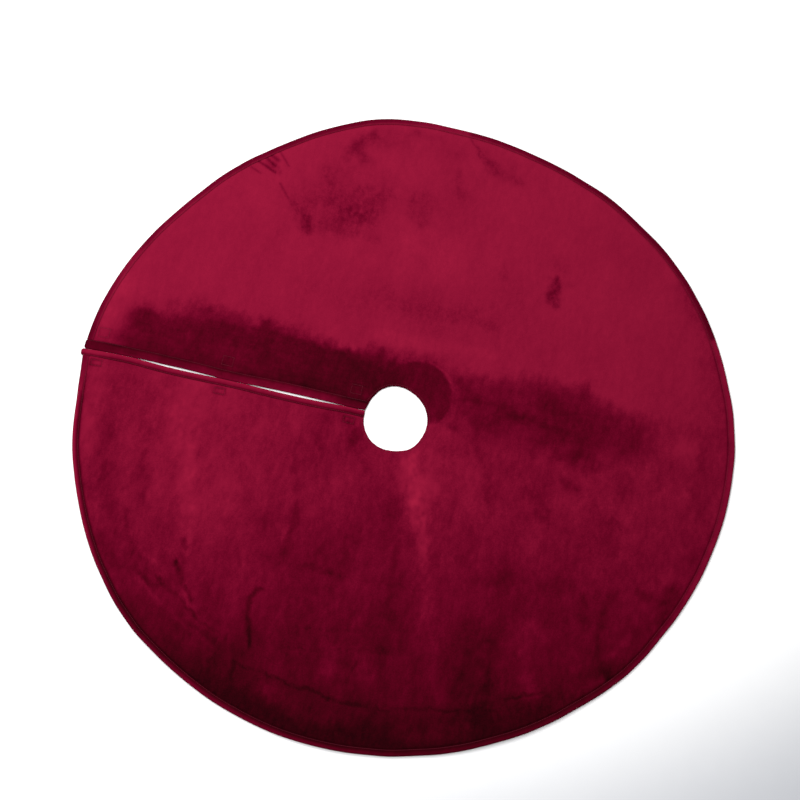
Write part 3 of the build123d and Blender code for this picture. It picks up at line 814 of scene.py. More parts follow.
def woven_material(name, colors, pitch, depth, sheen):
    """Plain weave: threads both ways, pitch metres apart."""
    material, tree = new_material(name)
    place = rest_place(tree)
    threads = []
    for direction in ("X", "Y"):
        inputs = {"Vector": place, "Scale": WAVE_SCALE / pitch, "Distortion": 0.6, "Detail": 1}
        threads.append(add_node(tree, "TexWave", inputs, bands_direction=direction)["Fac"])
    weave = added(tree, *threads, 1.0)
    shade = added(tree, weave, noise(tree, place, 60, 3), 0.6)
    return shaded(material, {
        "Base Color": ramp(tree, shade, [(0.1, colors[0]), (0.9, colors[1])]),
        "Roughness": 0.7,
        "Specular IOR Level": 0.2,
        "Sheen Weight": sheen,
        "Sheen Tint": (1.0, 0.2, 0.3, 1),
        "Normal": bump(tree, weave, 0.6, depth),
    })


def thread_material():
    """Twisted polyester thread, a shade darker than the pile round it."""
    material, tree = new_material("thread")
    twist = noise(tree, rest_place(tree), 2600, 1)
    return shaded(material, {
        "Base Color": ramp(tree, twist, [(0.3, (0.07, 0.001, 0.008)), (0.7, (0.14, 0.003, 0.018))]),
        "Roughness": 0.55,
        "Specular IOR Level": 0.2,
        "Normal": bump(tree, twist, 0.4, 0.0003),
    })


VELVET = velvet_material("velvet", mottle=0.135)
BINDING = velvet_material("binding_velvet", mottle=0.085)
THREAD_FINISH = thread_material()
LINING = woven_material(
    "lining_weave", [(0.085, 0.004, 0.012), (0.19, 0.012, 0.03)], pitch=0.0006, depth=0.0003, sheen=0.1,
)
HOOK_TAPE = woven_material(
    "hook_tape_weave", [(0.07, 0.003, 0.009), (0.16, 0.008, 0.02)], pitch=0.0011, depth=0.0004, sheen=0.0,
)
LOOP_TAPE = woven_material(
    "loop_tape_nap", [(0.08, 0.004, 0.011), (0.18, 0.012, 0.028)], pitch=0.0008, depth=0.0005, sheen=0.3,
)


# ---- meshes ----

def mark_sharp(mesh, flat_from):
    """The edges of the flat faces are creases, so that the smooth faces keep their own shading."""
    if flat_from >= len(mesh.polygons):
        return
    edges = np.zeros(len(mesh.loops), np.int32)
    mesh.loops.foreach_get("edge_index", edges)
    sharp = np.zeros(len(mesh.edges), bool)
    sharp[edges[mesh.polygons[flat_from].loop_start:]] = True
    mesh.attributes.new("sharp_edge", "BOOLEAN", "EDGE").data.foreach_set("value", sharp)


def make_piece(name, points, faces, flat_from, material, tone):
    """A mesh object from points in millimetres. Faces from index flat_from on are shaded flat."""
    mesh = bpy.data.meshes.new(name)
    mesh.from_pydata((points * MM).tolist(), [], faces)
    smooth = np.ones(len(faces), bool)
    smooth[flat_from:] = False
    mesh.polygons.foreach_set("use_smooth", smooth)
    mark_sharp(mesh, flat_from)
    mesh.materials.append(material)
    rest = mesh.attributes.new("rest", "FLOAT_VECTOR", "POINT")
    rest.data.foreach_set("vector", (points * MM).astype(np.float32).ravel())
    tones = mesh.attributes.new("tone", "FLOAT", "POINT")
    tones.data.foreach_set("value", tone(points[:, 0], points[:, 1]).astype(np.float32))
    obj = bpy.data.objects.new(name, mesh)
    bpy.context.scene.collection.objects.link(obj)
    return obj


def raised(plan, height):
    """Plan points with their heights."""
    height = np.broadcast_to(height, plan.shape[:-1])
    return np.concatenate([plan, height[..., None]], axis=-1)


def quads(index):
    """Faces between the neighbours of a grid of point numbers, up if columns run anticlockwise."""
    corners = [index[:-1, :-1], index[:-1, 1:], index[1:, 1:], index[1:, :-1]]
    return np.stack([c.ravel() for c in corners], axis=1).tolist()


def tube_faces(rings, first=0):
    """Faces round a strip of rings of points numbered from first, and the faces that close its ends."""
    index = np.arange(rings.shape[0] * rings.shape[1]).reshape(rings.shape[:2]) + first
    sides = quads(np.concatenate([index, index[:, :1]], axis=1))
    return sides, [index[0].tolist()[::-1], index[-1].tolist()]


def make_shell(name, face, back, material, tone):
    """A closed layer of cloth between two grids of points that share their columns."""
    columns, rows, back_rows = face.shape[0], face.shape[1], back.shape[1]
    top = np.arange(columns * rows).reshape(columns, rows)
    under = np.arange(columns * back_rows).reshape(columns, back_rows) + top.size
    faces = quads(top) + quads(under[:, ::-1])
    flat_from = len(faces)
    faces += quads(np.stack([under[:, 0], top[:, 0]], axis=1))
    faces += quads(np.stack([top[:, -1], under[:, -1]], axis=1))
    faces.append(top[0].tolist()[::-1] + under[0].tolist())
    faces.append(top[-1].tolist() + under[-1].tolist()[::-1])
    points = np.concatenate([face.reshape(-1, 3), back.reshape(-1, 3)])
    return make_piece(name, points, faces, flat_from, material, tone)


def make_tube(name, rings, material, tone):
    """A closed strip: rings of points, one after the other, with an end face at each end."""
    sides, ends = tube_faces(rings)
    return make_piece(name, rings.reshape(-1, 3), sides + ends, len(sides), material, tone)


# ---- the pattern's columns, from the hole to the rim ----

def crossing(start, end, centre, radius):
    """How far along each line from start to end it leaves a circle, as a share."""
    along, off = end - start, start - centre
    a = (along ** 2).sum(-1)
    b = 2 * (along * off).sum(-1)
    c = (off ** 2).sum(-1) - radius ** 2
    return (-b + np.sqrt(b * b - 4 * a * c)) / (2 * a)


def angle_on(centre, radius, start, heading):
    """Angle about centre where a line from start leaves the circle."""
    start = np.array(start, float)
    end = start + np.array([math.cos(math.radians(heading)), math.sin(math.radians(heading))])
    point = start + crossing(start, end, centre, radius) * (end - start)
    return math.degrees(math.atan2(*(point - centre)[::-1]))


def on_circle(centre, radius, angle):
    """Plan points on a circle."""
    turn = np.radians(angle)
    return np.stack([centre[0] + radius * np.cos(turn), centre[1] + radius * np.sin(turn)], axis=-1)


COLUMN_PITCH = 4.0              # between columns, at the rim
# the folds by their angle, with the half width and pitch of the finer columns at each: the
# tighter it bends, the finer they are
FOLD_COLUMNS = {-90: (18, 1.3), 0: (26, 1.8), 90: (18, 1.3), 135: (12, 0.8)}
# where the columns stand closer, as angle at the rim, half width and pitch: at the creases of
# the left back, beside the slit, and at the folds
FINE_COLUMNS = [(129, 42, 1.8), (SLIT_ANGLE - 3.6, 34, 2.2)]
for fold, (half_width, pitch) in FOLD_COLUMNS.items():
    FINE_COLUMNS.append((angle_on(RIM_CENTRE, RIM_RADIUS, FOLD_CENTRE, fold), half_width, pitch))

# columns that run straight beside the slit: how far each lies from the cloth's slit edge
FRONT_COLUMNS = [BINDING_FOLD, 8.5, FRONT_BAND - 1.2, FRONT_BAND, FRONT_BAND + 0.9, FRONT_BAND + 2]
FRONT_COLUMNS += [FRONT_BAND + 2 + 1.9 * step for step in range(1, 12)]
BACK_COLUMNS = [BINDING_FOLD, 9, 13.5, BACK_BAND - 1.2, BACK_BAND, BACK_BAND + 0.9, BACK_BAND + 2]
BACK_COLUMNS += [BACK_BAND + 3.6]


def column_pitch(angle):
    """Distance at the rim from the column at this angle to the next."""
    pitch = COLUMN_PITCH
    for centre, half_width, fine in FINE_COLUMNS:
        away = abs(angle - centre) * math.radians(1) * RIM_RADIUS
        if away < half_width:
            pitch = min(pitch, fine)
    return pitch


def rim_angles(start, stop):
    """Angles of the columns at the rim, from start to stop."""
    angles = [start]
    while angles[-1] < stop:
        angles.append(angles[-1] + math.degrees(column_pitch(angles[-1]) / RIM_RADIUS))
    angles = np.array(angles)
    return start + (angles - start) * (stop - start) / (angles[-1] - start)


def beside_slit(distances, edge, side):
    """Columns that run straight beside the slit, as ends on the hole and on the rim."""
    y = edge + side * np.array(distances)
    hole = np.stack([-np.sqrt(HOLE_RADIUS ** 2 - y ** 2), y], axis=-1)
    rim_x = RIM_CENTRE[0] - np.sqrt(RIM_RADIUS ** 2 - (y - RIM_CENTRE[1]) ** 2)
    return hole, np.stack([rim_x, y], axis=-1)


front_hole, front_rim = beside_slit(FRONT_COLUMNS, FRONT_EDGE, -1)
back_hole, back_rim = beside_slit(BACK_COLUMNS, BACK_EDGE, 1)
# the angles at the rim and at the hole of the columns that lie along the folds and next to the slit
KNOTS_RIM = [polar(*front_rim[-1], RIM_CENTRE)[0]]
KNOTS_HOLE = [polar(*front_hole[-1])[0]]
for fold in FOLD_COLUMNS:
    KNOTS_RIM.append(angle_on(RIM_CENTRE, RIM_RADIUS, FOLD_CENTRE, fold))
    KNOTS_HOLE.append(angle_on(HOLE_CENTRE, HOLE_RADIUS, FOLD_CENTRE, fold))
KNOTS_RIM.append(polar(*back_rim[-1], RIM_CENTRE)[0])
KNOTS_HOLE.append(polar(*back_hole[-1])[0])

# name: rim angles where it starts and ends, bodies on the two sides of its fold, direction
# across the fold, and how far each side of the fold the cloth bends
SECTORS = {
    "right": (-45, 45, "front_right", "back_right", (0, 1), 10),
    "back": (45, 112.5, "back_right", "back_left", (-1, 0), 5),
    "flap": (112.5, None, "back_left", "opening_flap", (-math.sqrt(0.5), -math.sqrt(0.5)), 3),
    "front": (None, -45, "front_right", "front_left", (-1, 0), 5),
}


def start_beside(distances, first):
    """The distances beyond first, and first itself unless it is 0."""
    return ([first] if first else []) + [distance for distance in distances if distance > first]


def sector_columns(sector, first_beside=0.0):
    """The sector's columns anticlockwise, leaving out those nearer to the slit than first_beside."""
    start, stop = SECTORS[sector][:2]
    angles = rim_angles(KNOTS_RIM[0] if start is None else start, KNOTS_RIM[-1] if stop is None else stop)
    hole = on_circle(HOLE_CENTRE, HOLE_RADIUS, np.interp(angles, KNOTS_RIM, KNOTS_HOLE))
    rim = on_circle(RIM_CENTRE, RIM_RADIUS, angles)
    if start is None:
        distances = start_beside(FRONT_COLUMNS, first_beside)
        side_hole, side_rim = beside_slit(distances, FRONT_EDGE, -1)
        return np.concatenate([side_hole, hole[1:]]), np.concatenate([side_rim, rim[1:]])
    if stop is None:
        distances = start_beside(BACK_COLUMNS, first_beside)
        side_hole, side_rim = beside_slit(distances[::-1], BACK_EDGE, 1)
        return np.concatenate([hole[:-1], side_hole]), np.concatenate([rim[:-1], side_rim])
    return hole, rim


def point_rows(hole, rim, from_hole, from_rim, pitch):
    """Points on each column: at distances from the hole, evenly between, and at distances from the rim."""
    near = [crossing(hole, rim, HOLE_CENTRE, HOLE_RADIUS + distance) for distance in from_hole]
    far = [crossing(hole, rim, RIM_CENTRE, RIM_RADIUS - distance) for distance in from_rim]
    middle = RIM_RADIUS - HOLE_RADIUS - from_hole[-1] - from_rim[0]
    shares = np.linspace(0, 1, max(2, round(middle / pitch) + 1))[1:-1]
    between_rows = [near[-1] + (far[0] - near[-1]) * share for share in shares]
    along = np.stack(near + between_rows + far, axis=1)
    return hole[:, None] + along[..., None] * (rim - hole)[:, None]


# ---- velvet and lining ----

def insets(x, y):
    """How far points of the flat pattern lie from the hole, the rim and the slit's bindings."""
    from_hole = np.hypot(x, y) - HOLE_RADIUS
    from_rim = RIM_RADIUS - np.hypot(x - RIM_CENTRE[0], y - RIM_CENTRE[1])
    from_band = np.where(y > SLIT_Y, y - BACK_EDGE - BACK_BAND, FRONT_EDGE - FRONT_BAND - y)
    return from_hole, from_rim, np.where(x < 0, from_band, RIM_RADIUS)


def beside_binding(distance, pucker):
    """The cloth is squeezed under a binding, dips at its edge, and swells beyond it."""
    squeezed, dip = 0.3, 0.9
    at_edge = hump(distance, 1.8)
    out = np.clip(distance, 0, None) / 8
    swell = (0.65 + 0.25 * pucker) * out * np.exp(1 - out)
    return np.where(distance < 0, -squeezed - (dip - squeezed) * at_edge, swell - dip * at_edge)


def velvet_face(x, y):
    """Height of the velvet's face over the floor, on the flat pattern."""
    from_hole, from_rim, from_band = insets(x, y)
    pucker = cloud(x, y, 13, 91, 2)
    height = VELVET_TOP + 0.2 + beside_binding(from_rim - RIM_BAND, pucker)
    height = height + beside_binding(from_band, pucker) * between(from_rim, RIM_BAND - 2, RIM_BAND + 6)
    seam = from_hole - (HOLE_SEAM - HOLE_RADIUS)
    height -= 0.45 * hump(seam, 1.0) * (1 + 0.4 * pucker)
    height += 0.5 * hump(from_hole - 11, 5)
    height -= 0.55 * hump(from_box_line(x, y), 1.7)
    for start, end, half_width, _, rise in MARKS:
        height += rise * hump(from_line(x, y, start, end)[0], half_width)
    height += 0.10 * cloud(x, y, 30, 95) + 0.05 * pucker
    return height


# rows of points on the velvet's face, from the hole and from the rim, closest along its seams
NEAR_HOLE_ROWS = [2.4, 3.0, 3.6, 4.1, 4.5, 4.9, 5.4, 6.1, 7, 8.2, 9.6, 11.2, 13, 15, 17.2, 19.5, 22]
NEAR_RIM_ROWS = [66, 62, 58, 54, 51, 48, 45, 42.5, 40, 37.5, 35, 32.5, 30, 27.5, 25.2, 23, 21, 19.3, 17.8,
                 16.5, 15.4, 14.5, 13.7, 13, 12.4, 11.8, 10.5, 8, BINDING_FOLD]
# and on its back and the lining
BACK_HOLE_ROWS = [HEM_TURN, 6, 14, 22]
BACK_RIM_ROWS = [66, 50, 36, 24, 14, BINDING_FOLD]
FACE_PITCH = 4.0
BACK_PITCH = 12.0
LAYER_GAP = 0.03                # between the lining and the velvet's back


def make_velvet(sector):
    """The velvet, whose edge at the hole turns down round the lining's and back under it as a hem."""
    hole, rim = sector_columns(sector)
    face_plan = point_rows(hole, rim, NEAR_HOLE_ROWS, NEAR_RIM_ROWS, FACE_PITCH)
    face = raised(face_plan, velvet_face(face_plan[..., 0], face_plan[..., 1]))
    _, _, from_band = insets(hole[:, 0], hole[:, 1])
    turned = between(from_band, 0.3, 2.0)           # the hem stops beside the slit's bindings
    shortest = HEM_TURN + 0.4
    hem = shortest + (HEM_WIDTH - shortest) * turned
    edge_low = LINING_TOP * (1 - turned)
    half = (VELVET_TOP + 0.1 - edge_low) / 2
    # round the outside of the turn, from under the lining up to the face
    outer = [(hem, edge_low), (HEM_TURN + 0.6 * (hem - HEM_TURN), edge_low)]
    for step in range(9):
        swing = math.pi * step / 8
        outer.append((HEM_TURN * (1 - math.sin(swing)), edge_low + half * (1 - math.cos(swing))))
    face = np.concatenate([hem_rows(hole, outer), face], axis=1)
    # and round its inside, next to the lining
    inner_low = edge_low + (LINING_LOW - 0.05) * turned + 0.3 * (1 - turned)
    inner_top = LINING_TOP + LAYER_GAP + 0.5 * (1 - turned)
    middle = (inner_low + inner_top) / 2
    inner = [(hem, inner_low), (HEM_TURN, inner_low), (HEM_TURN - 0.3, middle)]
    back_plan = point_rows(hole, rim, BACK_HOLE_ROWS, BACK_RIM_ROWS, BACK_PITCH)
    back_height = np.full(back_plan.shape[:2], LINING_TOP + LAYER_GAP)
    back_height[:, 0] = inner_top
    back = np.concatenate([hem_rows(hole, inner), raised(back_plan, back_height)], axis=1)
    return make_shell(f"velvet_{sector}", laid(face), laid(back), VELVET, nap)


def hem_rows(hole, section):
    """Rows of points round the hole, from pairs of distance from it and height."""
    rows = []
    for distance, height in section:
        scale = (HOLE_RADIUS + distance) / HOLE_RADIUS
        rows.append(raised(hole * np.reshape(scale, (-1, 1)), height))
    return np.stack(rows, axis=1)


def make_lining(sector):
    """The lining, which lies flat inside the velvet's hem."""
    hole, rim = sector_columns(sector)
    plan = point_rows(hole, rim, BACK_HOLE_ROWS, BACK_RIM_ROWS, BACK_PITCH)
    top, low = raised(plan, LINING_TOP), raised(plan, LINING_LOW)
    return make_shell(f"lining_{sector}", laid(top), laid(low), LINING, even_tone)


# ---- bindings ----

def binding_section(band, low, top):
    """Section of a rolled binding, as pairs of distance in from its edge and height, the way round
    that faces outwards: along the underside, round the roll, over the crown, down the sewn leg,
    and through the slot that holds the cloth."""
    middle = (low + top) / 2
    roll = (top - low) / 2
    leg = BINDING_LEG
    section = [(band - 0.1, 1.45), (band, low + 0.35), (band - 0.5, low + 0.03), (band * 0.6, low)]
    for step in range(9):
        swing = math.pi * step / 8
        section.append((roll * 1.1 * (1 - math.sin(swing)), middle - roll * math.cos(swing)))
    section += [
        (band * 0.42, top - 0.12),
        (band * 0.58, top - 0.32),
        (band - 3.1, leg + 0.42),
        (band - 2.2, leg + 0.05),
        (band - SEAM_INSET - 0.35, leg - 0.22),
        (band - SEAM_INSET + 0.2, leg - 0.22),
        (band - 0.75, leg + 0.02),
        (band - 0.3, leg - 0.05),
        (band, leg - 0.3),
        (band - 0.15, VELVET_TOP + 0.02),
        (BINDING_FOLD - 0.3, VELVET_TOP),
        (BINDING_FOLD - 0.5, (LINING_LOW + VELVET_TOP) / 2),
        (BINDING_FOLD - 0.3, LINING_LOW),
    ]
    return np.array(section)


def wavered(section, along, seed):
    """The section repeated along a binding, whose top is pushed about a little by its stitches."""
    rings = np.repeat(section[None], len(along), axis=0)
    high = between(rings[..., 1], VELVET_TOP, BINDING_TOP)
    slow = value_noise(along, 0 * along, 40, seed)[:, None]
    quick = value_noise(along, 0 * along, 9, seed + 1)[:, None]
    rings[..., 1] += high * (0.18 * slow + 0.12 * quick)
    inner = between(rings[..., 0], section[:, 0].max() - 4, section[:, 0].max()) * high
    rings[..., 0] += inner * (0.5 * slow + 0.25 * quick)
    return rings


def make_rim_binding(sector):
    # it stops beside the slit's bindings
    first_beside = {"front": FRONT_BAND + 0.3, "flap": BACK_BAND + 0.3}.get(sector, 0.0)
    hole, rim = sector_columns(sector, first_beside)
    along = np.arctan2(rim[:, 1], rim[:, 0]) * RIM_RADIUS
    section = wavered(binding_section(RIM_BAND, 0.0, BINDING_TOP), along, 101)
    rings = np.zeros((len(hole), section.shape[1], 3))
    for index in range(section.shape[1]):
        share = crossing(hole, rim, RIM_CENTRE, RIM_RADIUS - section[:, index, 0])
        rings[:, index, :2] = hole + share[:, None] * (rim - hole)
        rings[:, index, 2] = section[:, index, 1]
    return make_tube(f"rim_binding_{sector}", laid(rings)[::-1], BINDING, rim_binding_tone_and_painted_light)


SLIT_BINDING_PITCH = 3.5        # between a slit binding's rings
BACK_END_SHORT = 3.6            # the back binding stops this short of the front one
BACK_FLATTER = 0.35             # and is this much flatter
END_SQUEEZE = 0.35              # how much a binding's closed end is squeezed together


def make_slit_binding(edge_name, edge, side, band, tone):
    """A slit binding, from the hole to its closed end just past the rim."""
    end_x = BAND_END_X + (BACK_END_SHORT if side > 0 else 0)
    x = np.linspace(BAND_START_X, end_x, round((BAND_START_X - end_x) / SLIT_BINDING_PITCH))
    x = np.concatenate([x[:-1], [end_x + 1.4, end_x + 0.4, end_x]])
    x = np.sort(x)[::-1]
    top = BINDING_TOP - (BACK_FLATTER if side > 0 else 0)
    section = binding_section(band, BAND_LOW, top)
    rings = wavered(section, x, 111 if side > 0 else 121)
    closed = between(x, end_x + 2.5, end_x)[:, None, None]
    middle = section.mean(axis=0)
    rings = middle + (rings - middle) * (1 - END_SQUEEZE * closed)
    points = np.zeros((len(x), len(section), 3))
    points[..., 0] = x[:, None]
    points[..., 1] = edge + side * rings[..., 0]
    points[..., 2] = rings[..., 1]
    points = laid(points, side)
    if side < 0:
        points = points[::-1]           # so that its faces look outwards too
    return make_tube(f"{edge_name}_slit_binding", points, BINDING, tone)


# ---- stitching ----

STITCH_LENGTH = 2.7
STITCH_PITCH = 3.3
BOX_STITCH_PITCH = 2.7
PATH_STEP = 1.5                 # between the points of the line that the stitches follow


def stitch_shape(length):
    """One stitch along X as rings of six points and two end points. It arches over the cloth."""
    # share of the length from the middle, and share of the thread's width
    stations = [(-0.5, 0.0), (-0.42, 0.65), (-0.15, 1.0), (0.15, 1.0), (0.42, 0.65), (0.5, 0.0)]
    points = []
    for share, width in stations:
        arch = 0.16 - 1.6 * share * share
        if width == 0:
            points.append((share * length, 0, arch))
            continue
        for step in range(6):
            swing = math.pi * step / 3
            radius = width * THREAD / 2
            points.append((share * length, radius * math.cos(swing), arch + 0.8 * radius * math.sin(swing)))
    faces = [(0, 1 + (step + 1) % 6, 1 + step) for step in range(6)]
    for ring in range(3):
        start = 1 + 6 * ring
        for step in range(6):
            after = (step + 1) % 6
            faces.append((start + step, start + after, start + 6 + after, start + 6 + step))
    last = len(points) - 1
    faces += [(last, last - 6 + step, last - 6 + (step + 1) % 6) for step in range(6)]
    return np.array(points), faces


def make_stitches(name, path, side=None, pitch=STITCH_PITCH):
    """Stitches along a line of points on the flat pattern."""
    steps = np.linalg.norm(np.diff(path, axis=0), axis=1)
    travel = np.concatenate([[0], np.cumsum(steps)])
    count = max(1, round(travel[-1] / pitch))
    places = (np.arange(count) + 0.5) * travel[-1] / count
    rows = []
    for shift in (-0.4, 0.0, 0.4):
        row = np.stack([np.interp(places + shift, travel, path[:, k]) for k in range(3)], axis=1)
        rows.append(laid(row, side))
    before, centre, after = rows
    along = after - before
    along /= np.linalg.norm(along, axis=1)[:, None]
    across = np.cross([0, 0, 1], along)
    across /= np.linalg.norm(across, axis=1)[:, None]
    up = np.cross(along, across)
    shape, shape_faces = stitch_shape(STITCH_LENGTH * pitch / STITCH_PITCH)
    turned = [shape[None, :, k, None] * way[:, None] for k, way in enumerate((along, across, up))]
    points = centre[:, None] + (turned[0] + turned[1] + turned[2])
    faces = []
    for index in range(count):
        offset = index * len(shape)
        faces += [[number + offset for number in face] for face in shape_faces]
    return make_piece(name, points.reshape(-1, 3), faces, len(faces), THREAD_FINISH, even_tone)


def seam_ends(sector, centre, radius):
    """Angles about centre where the sector's seam at that radius starts and ends."""
    start, stop = SECTORS[sector][:2]
    ends = []
    for angle, edge, band, side in ((start, FRONT_EDGE, FRONT_BAND, -1), (stop, BACK_EDGE, BACK_BAND, 1)):
        if angle is None:
            y = edge + side * (band + 0.6) - centre[1]
            ends.append(side * (180 - math.degrees(math.asin(abs(y) / radius))))
        elif centre is HOLE_CENTRE:
            ends.append(float(np.interp(angle, KNOTS_RIM, KNOTS_HOLE)))
        else:
            ends.append(angle)
    return ends


def seam_height(x, _):
    """Height of the thread on a binding's sewn leg."""
    return np.full(np.shape(x), BINDING_LEG - 0.05)


def make_ring_stitching(stem, sector, centre, radius, height):
    """The sector's stitches round the hole or the rim."""
    start, stop = seam_ends(sector, centre, radius)
    angles = np.linspace(start, stop, max(2, round(radius * math.radians(stop - start) / PATH_STEP)))
    plan = on_circle(centre, radius, angles)
    return make_stitches(f"{stem}_{sector}", raised(plan, height(plan[:, 0], plan[:, 1])))


def make_slit_stitching(edge_name, edge, side, band):
    """Stitches along a slit binding's sewn leg, but for its very ends."""
    x = np.arange(BAND_START_X - 1, BAND_END_X + 5, -PATH_STEP)
    y = np.full(len(x), edge + side * (band - SEAM_INSET))
    path = np.column_stack([x, y, seam_height(x, y)])
    return make_stitches(f"{edge_name}_slit_stitching", path, side)


def make_box_stitching(tape, place):
    """The rectangle of stitches that holds a tape, on the face of the velvet."""
    left, low, right, high = STITCH_BOXES[tape, place]
    corners = np.array([(left, low), (right, low), (right, high), (left, high), (left, low)])
    path = []
    for start, end in zip(corners[:-1], corners[1:]):
        path.append(start + (end - start) * np.linspace(0, 1, 12)[:-1, None])
    plan = np.concatenate([*path, corners[-1:]])
    path = raised(plan, velvet_face(plan[:, 0], plan[:, 1]) + 0.1)
    return make_stitches(f"{place}_{tape}_box_stitching", path, pitch=BOX_STITCH_PITCH)


# ---- hook-and-loop tapes ----

TAPE_PITCH = 1.25               # between the points of a tape
TAPE_EDGE = 0.15                # how far a tape's rounded edges stand out
HOOK_TAPE_THICKNESS = 0.6
TAB_DROP_START = 2.4            # a hook tab drops to the floor from here beyond its stitches
TAB_DROP_RUN = 2.6              # over this run
HOOK_PITCH_X, HOOK_PITCH_Y = 1.6, 1.7


def slab(length_line, low_x, high_x, thickness, rough, seed):
    """Rings of a flat tape: a line of (y, underside) pairs, each ring running round its section."""
    x = np.linspace(low_x, high_x, round((high_x - low_x) / TAPE_PITCH))
    rings = []
    for y, underside in length_line:
        lumpy = rough * value_noise(x, np.full(len(x), y), 1.1, seed)
        below = [(x_at, y, underside + lump) for x_at, lump in zip(x, lumpy)]
        above = [(x_at, y, underside + thickness) for x_at in x[::-1]]
        right = (high_x + TAPE_EDGE, y, underside + thickness / 2)
        left = (low_x - TAPE_EDGE, y, underside + thickness / 2)
        rings.append([*below, right, *above, left])
    return np.array(rings)


def hook_points(x, y, base):
    """One hook of the tape as rings of four points, up and over towards +X."""
    # how far along, how far up, and how thick
    line = [(0.0, 0.0, 0.11), (0.02, 0.14, 0.09), (0.09, 0.24, 0.08), (0.22, 0.25, 0.07), (0.30, 0.15, 0.05)]
    rings = []
    for along, up, radius in line:
        ring = [(x + along + radius * math.cos(a), y + radius * math.sin(a), base + up)
                for a in (0, math.pi / 2, math.pi, 3 * math.pi / 2)]
        rings.append(ring)
    return rings


def make_hook_tab(place):
    """The tab dips from under the front edge to the floor, and its hooks stand up below the loop pad."""
    low, high = extent(f"hook_tab_{place}")
    drop_start = STITCH_BOXES["hook", place][3] + TAB_DROP_START
    line = []
    for y in np.linspace(low[1], high[1], round((high[1] - low[1]) / TAPE_PITCH)):
        sewn = between(y, drop_start + TAB_DROP_RUN, drop_start)
        line.append((y, low[2] + (LINING_LOW - HOOK_TAPE_THICKNESS - low[2]) * sewn))
    rings = slab(line[::-1], low[0], high[0], HOOK_TAPE_THICKNESS, 0.04, 131)
    faces, ends = tube_faces(rings)
    points = [rings.reshape(-1, 3)]
    total = len(points[0])
    hook_base = low[2] + HOOK_TAPE_THICKNESS - 0.05
    pad_low = extent(f"loop_pad_{place}")[0][1]
    for row, y in enumerate(np.arange(pad_low - 2, high[1] - 1, HOOK_PITCH_Y)):
        first_x = low[0] + 1.2 + HOOK_PITCH_X / 2 * (row % 2)
        for x in np.arange(first_x, high[0] - 1.2, HOOK_PITCH_X):
            hook = np.array(hook_points(x, y, hook_base))
            hook_sides, hook_ends = tube_faces(hook, total)
            faces += hook_sides + hook_ends
            points.append(hook.reshape(-1, 3))
            total += len(points[-1])
    faces += ends
    points = laid(np.concatenate(points), -1)
    return make_piece(f"{place}_hook_tab", points, faces, len(faces) - len(ends), HOOK_TAPE, even_tone)


def make_loop_pad(place):
    """The pad under the back edge, with its rough looped side down."""
    low, high = extent(f"loop_pad_{place}")
    line = [(y, low[2]) for y in np.linspace(low[1], high[1], round((high[1] - low[1]) / TAPE_PITCH))]
    rings = slab(line[::-1], low[0], high[0], high[2] - low[2], 0.16, 141)
    return make_tube(f"{place}_loop_pad", laid(rings, 1), LOOP_TAPE, even_tone)


# ---- floor, light and camera ----

PAINTED_LIGHT_CENTRE = (-0.727, 1.63, 0.0)  # the paper is painted evenly pale round here, in metres
PAINTED_SHADE_REACH = (2.28, 2.68)          # and is painted grey from here to here, as shade where the light falls off
PAPER_AND_PAINTED_SHADE_COLORS = [(0.0, (0.92, 0.92, 0.922)), (1.0, (0.49, 0.50, 0.53))]
FLOOR_SIZE, FLOOR_CELLS = 40.0, 40  # metres, and cells each way
FLOOR_HEIGHT = -0.25
WORLD_STRENGTH = 0.46
# place, width and power of the lamps, which shine at the middle of the skirt
LAMPS = {
    "key": ((-0.75, 0.85, 1.9), 1.6, 42),
    "fill": ((-0.25, -0.60, 2.1), 1.6, 26),
}
CAMERA_AZIMUTH, CAMERA_ELEVATION = 13.4, 72.77
CAMERA_DISTANCE = 2.745
CAMERA_LENS = 66.8
CAMERA_SHIFT = 0.0249


def make_floor():
    """A wide level sheet of pale paper, just under the skirt, with painted shade that greys it further out.
    """
    steps = np.linspace(-FLOOR_SIZE / 2, FLOOR_SIZE / 2, FLOOR_CELLS + 1) / MM
    points = raised(np.stack(np.meshgrid(steps, steps, indexing="ij"), axis=-1), FLOOR_HEIGHT)
    index = np.arange(steps.size ** 2).reshape(steps.size, -1)
    faces = [face[::-1] for face in quads(index)]
    material, tree = new_material("paper_with_painted_shade")
    place = rest_place(tree)
    # painted shade: the paper greys with distance from the centre, standing in for the light falling off
    away = add_node(tree, "VectorMath", {0: place, 1: PAINTED_LIGHT_CENTRE}, operation="DISTANCE")["Value"]
    reach = {"Value": away, "From Min": PAINTED_SHADE_REACH[0], "From Max": PAINTED_SHADE_REACH[1]}
    painted_shade = add_node(tree, "MapRange", reach, interpolation_type="SMOOTHSTEP")["Result"]
    grain = added(tree, painted_shade, noise(tree, place, 30, 2), 0.04)
    shaded(material, {
        "Base Color": ramp(tree, grain, PAPER_AND_PAINTED_SHADE_COLORS),
        "Roughness": 0.9,
        "Specular IOR Level": 0.1,
    })
    floor = make_piece("floor", points.reshape(-1, 3), faces, len(faces), material, even_tone)


def light_studio():
    """Even white light from all round, and two wide soft lamps above."""
    world = bpy.data.worlds.new("studio")
    world.use_nodes = True
    white = {"Color": (1, 1, 1, 1), "Strength": WORLD_STRENGTH}
    set_inputs(world.node_tree, world.node_tree.nodes["Background"], white)
    bpy.context.scene.world = world
    for name, (place, width, power) in LAMPS.items():
        lamp = bpy.data.lights.new(name, "AREA")
        lamp.shape = "DISK"
        lamp.size = width
        lamp.energy = power
        obj = bpy.data.objects.new(name, lamp)
        obj.location = place
        obj.rotation_euler = (-Vector(place)).to_track_quat("-Z", "Y").to_euler()
        bpy.context.scene.collection.objects.link(obj)


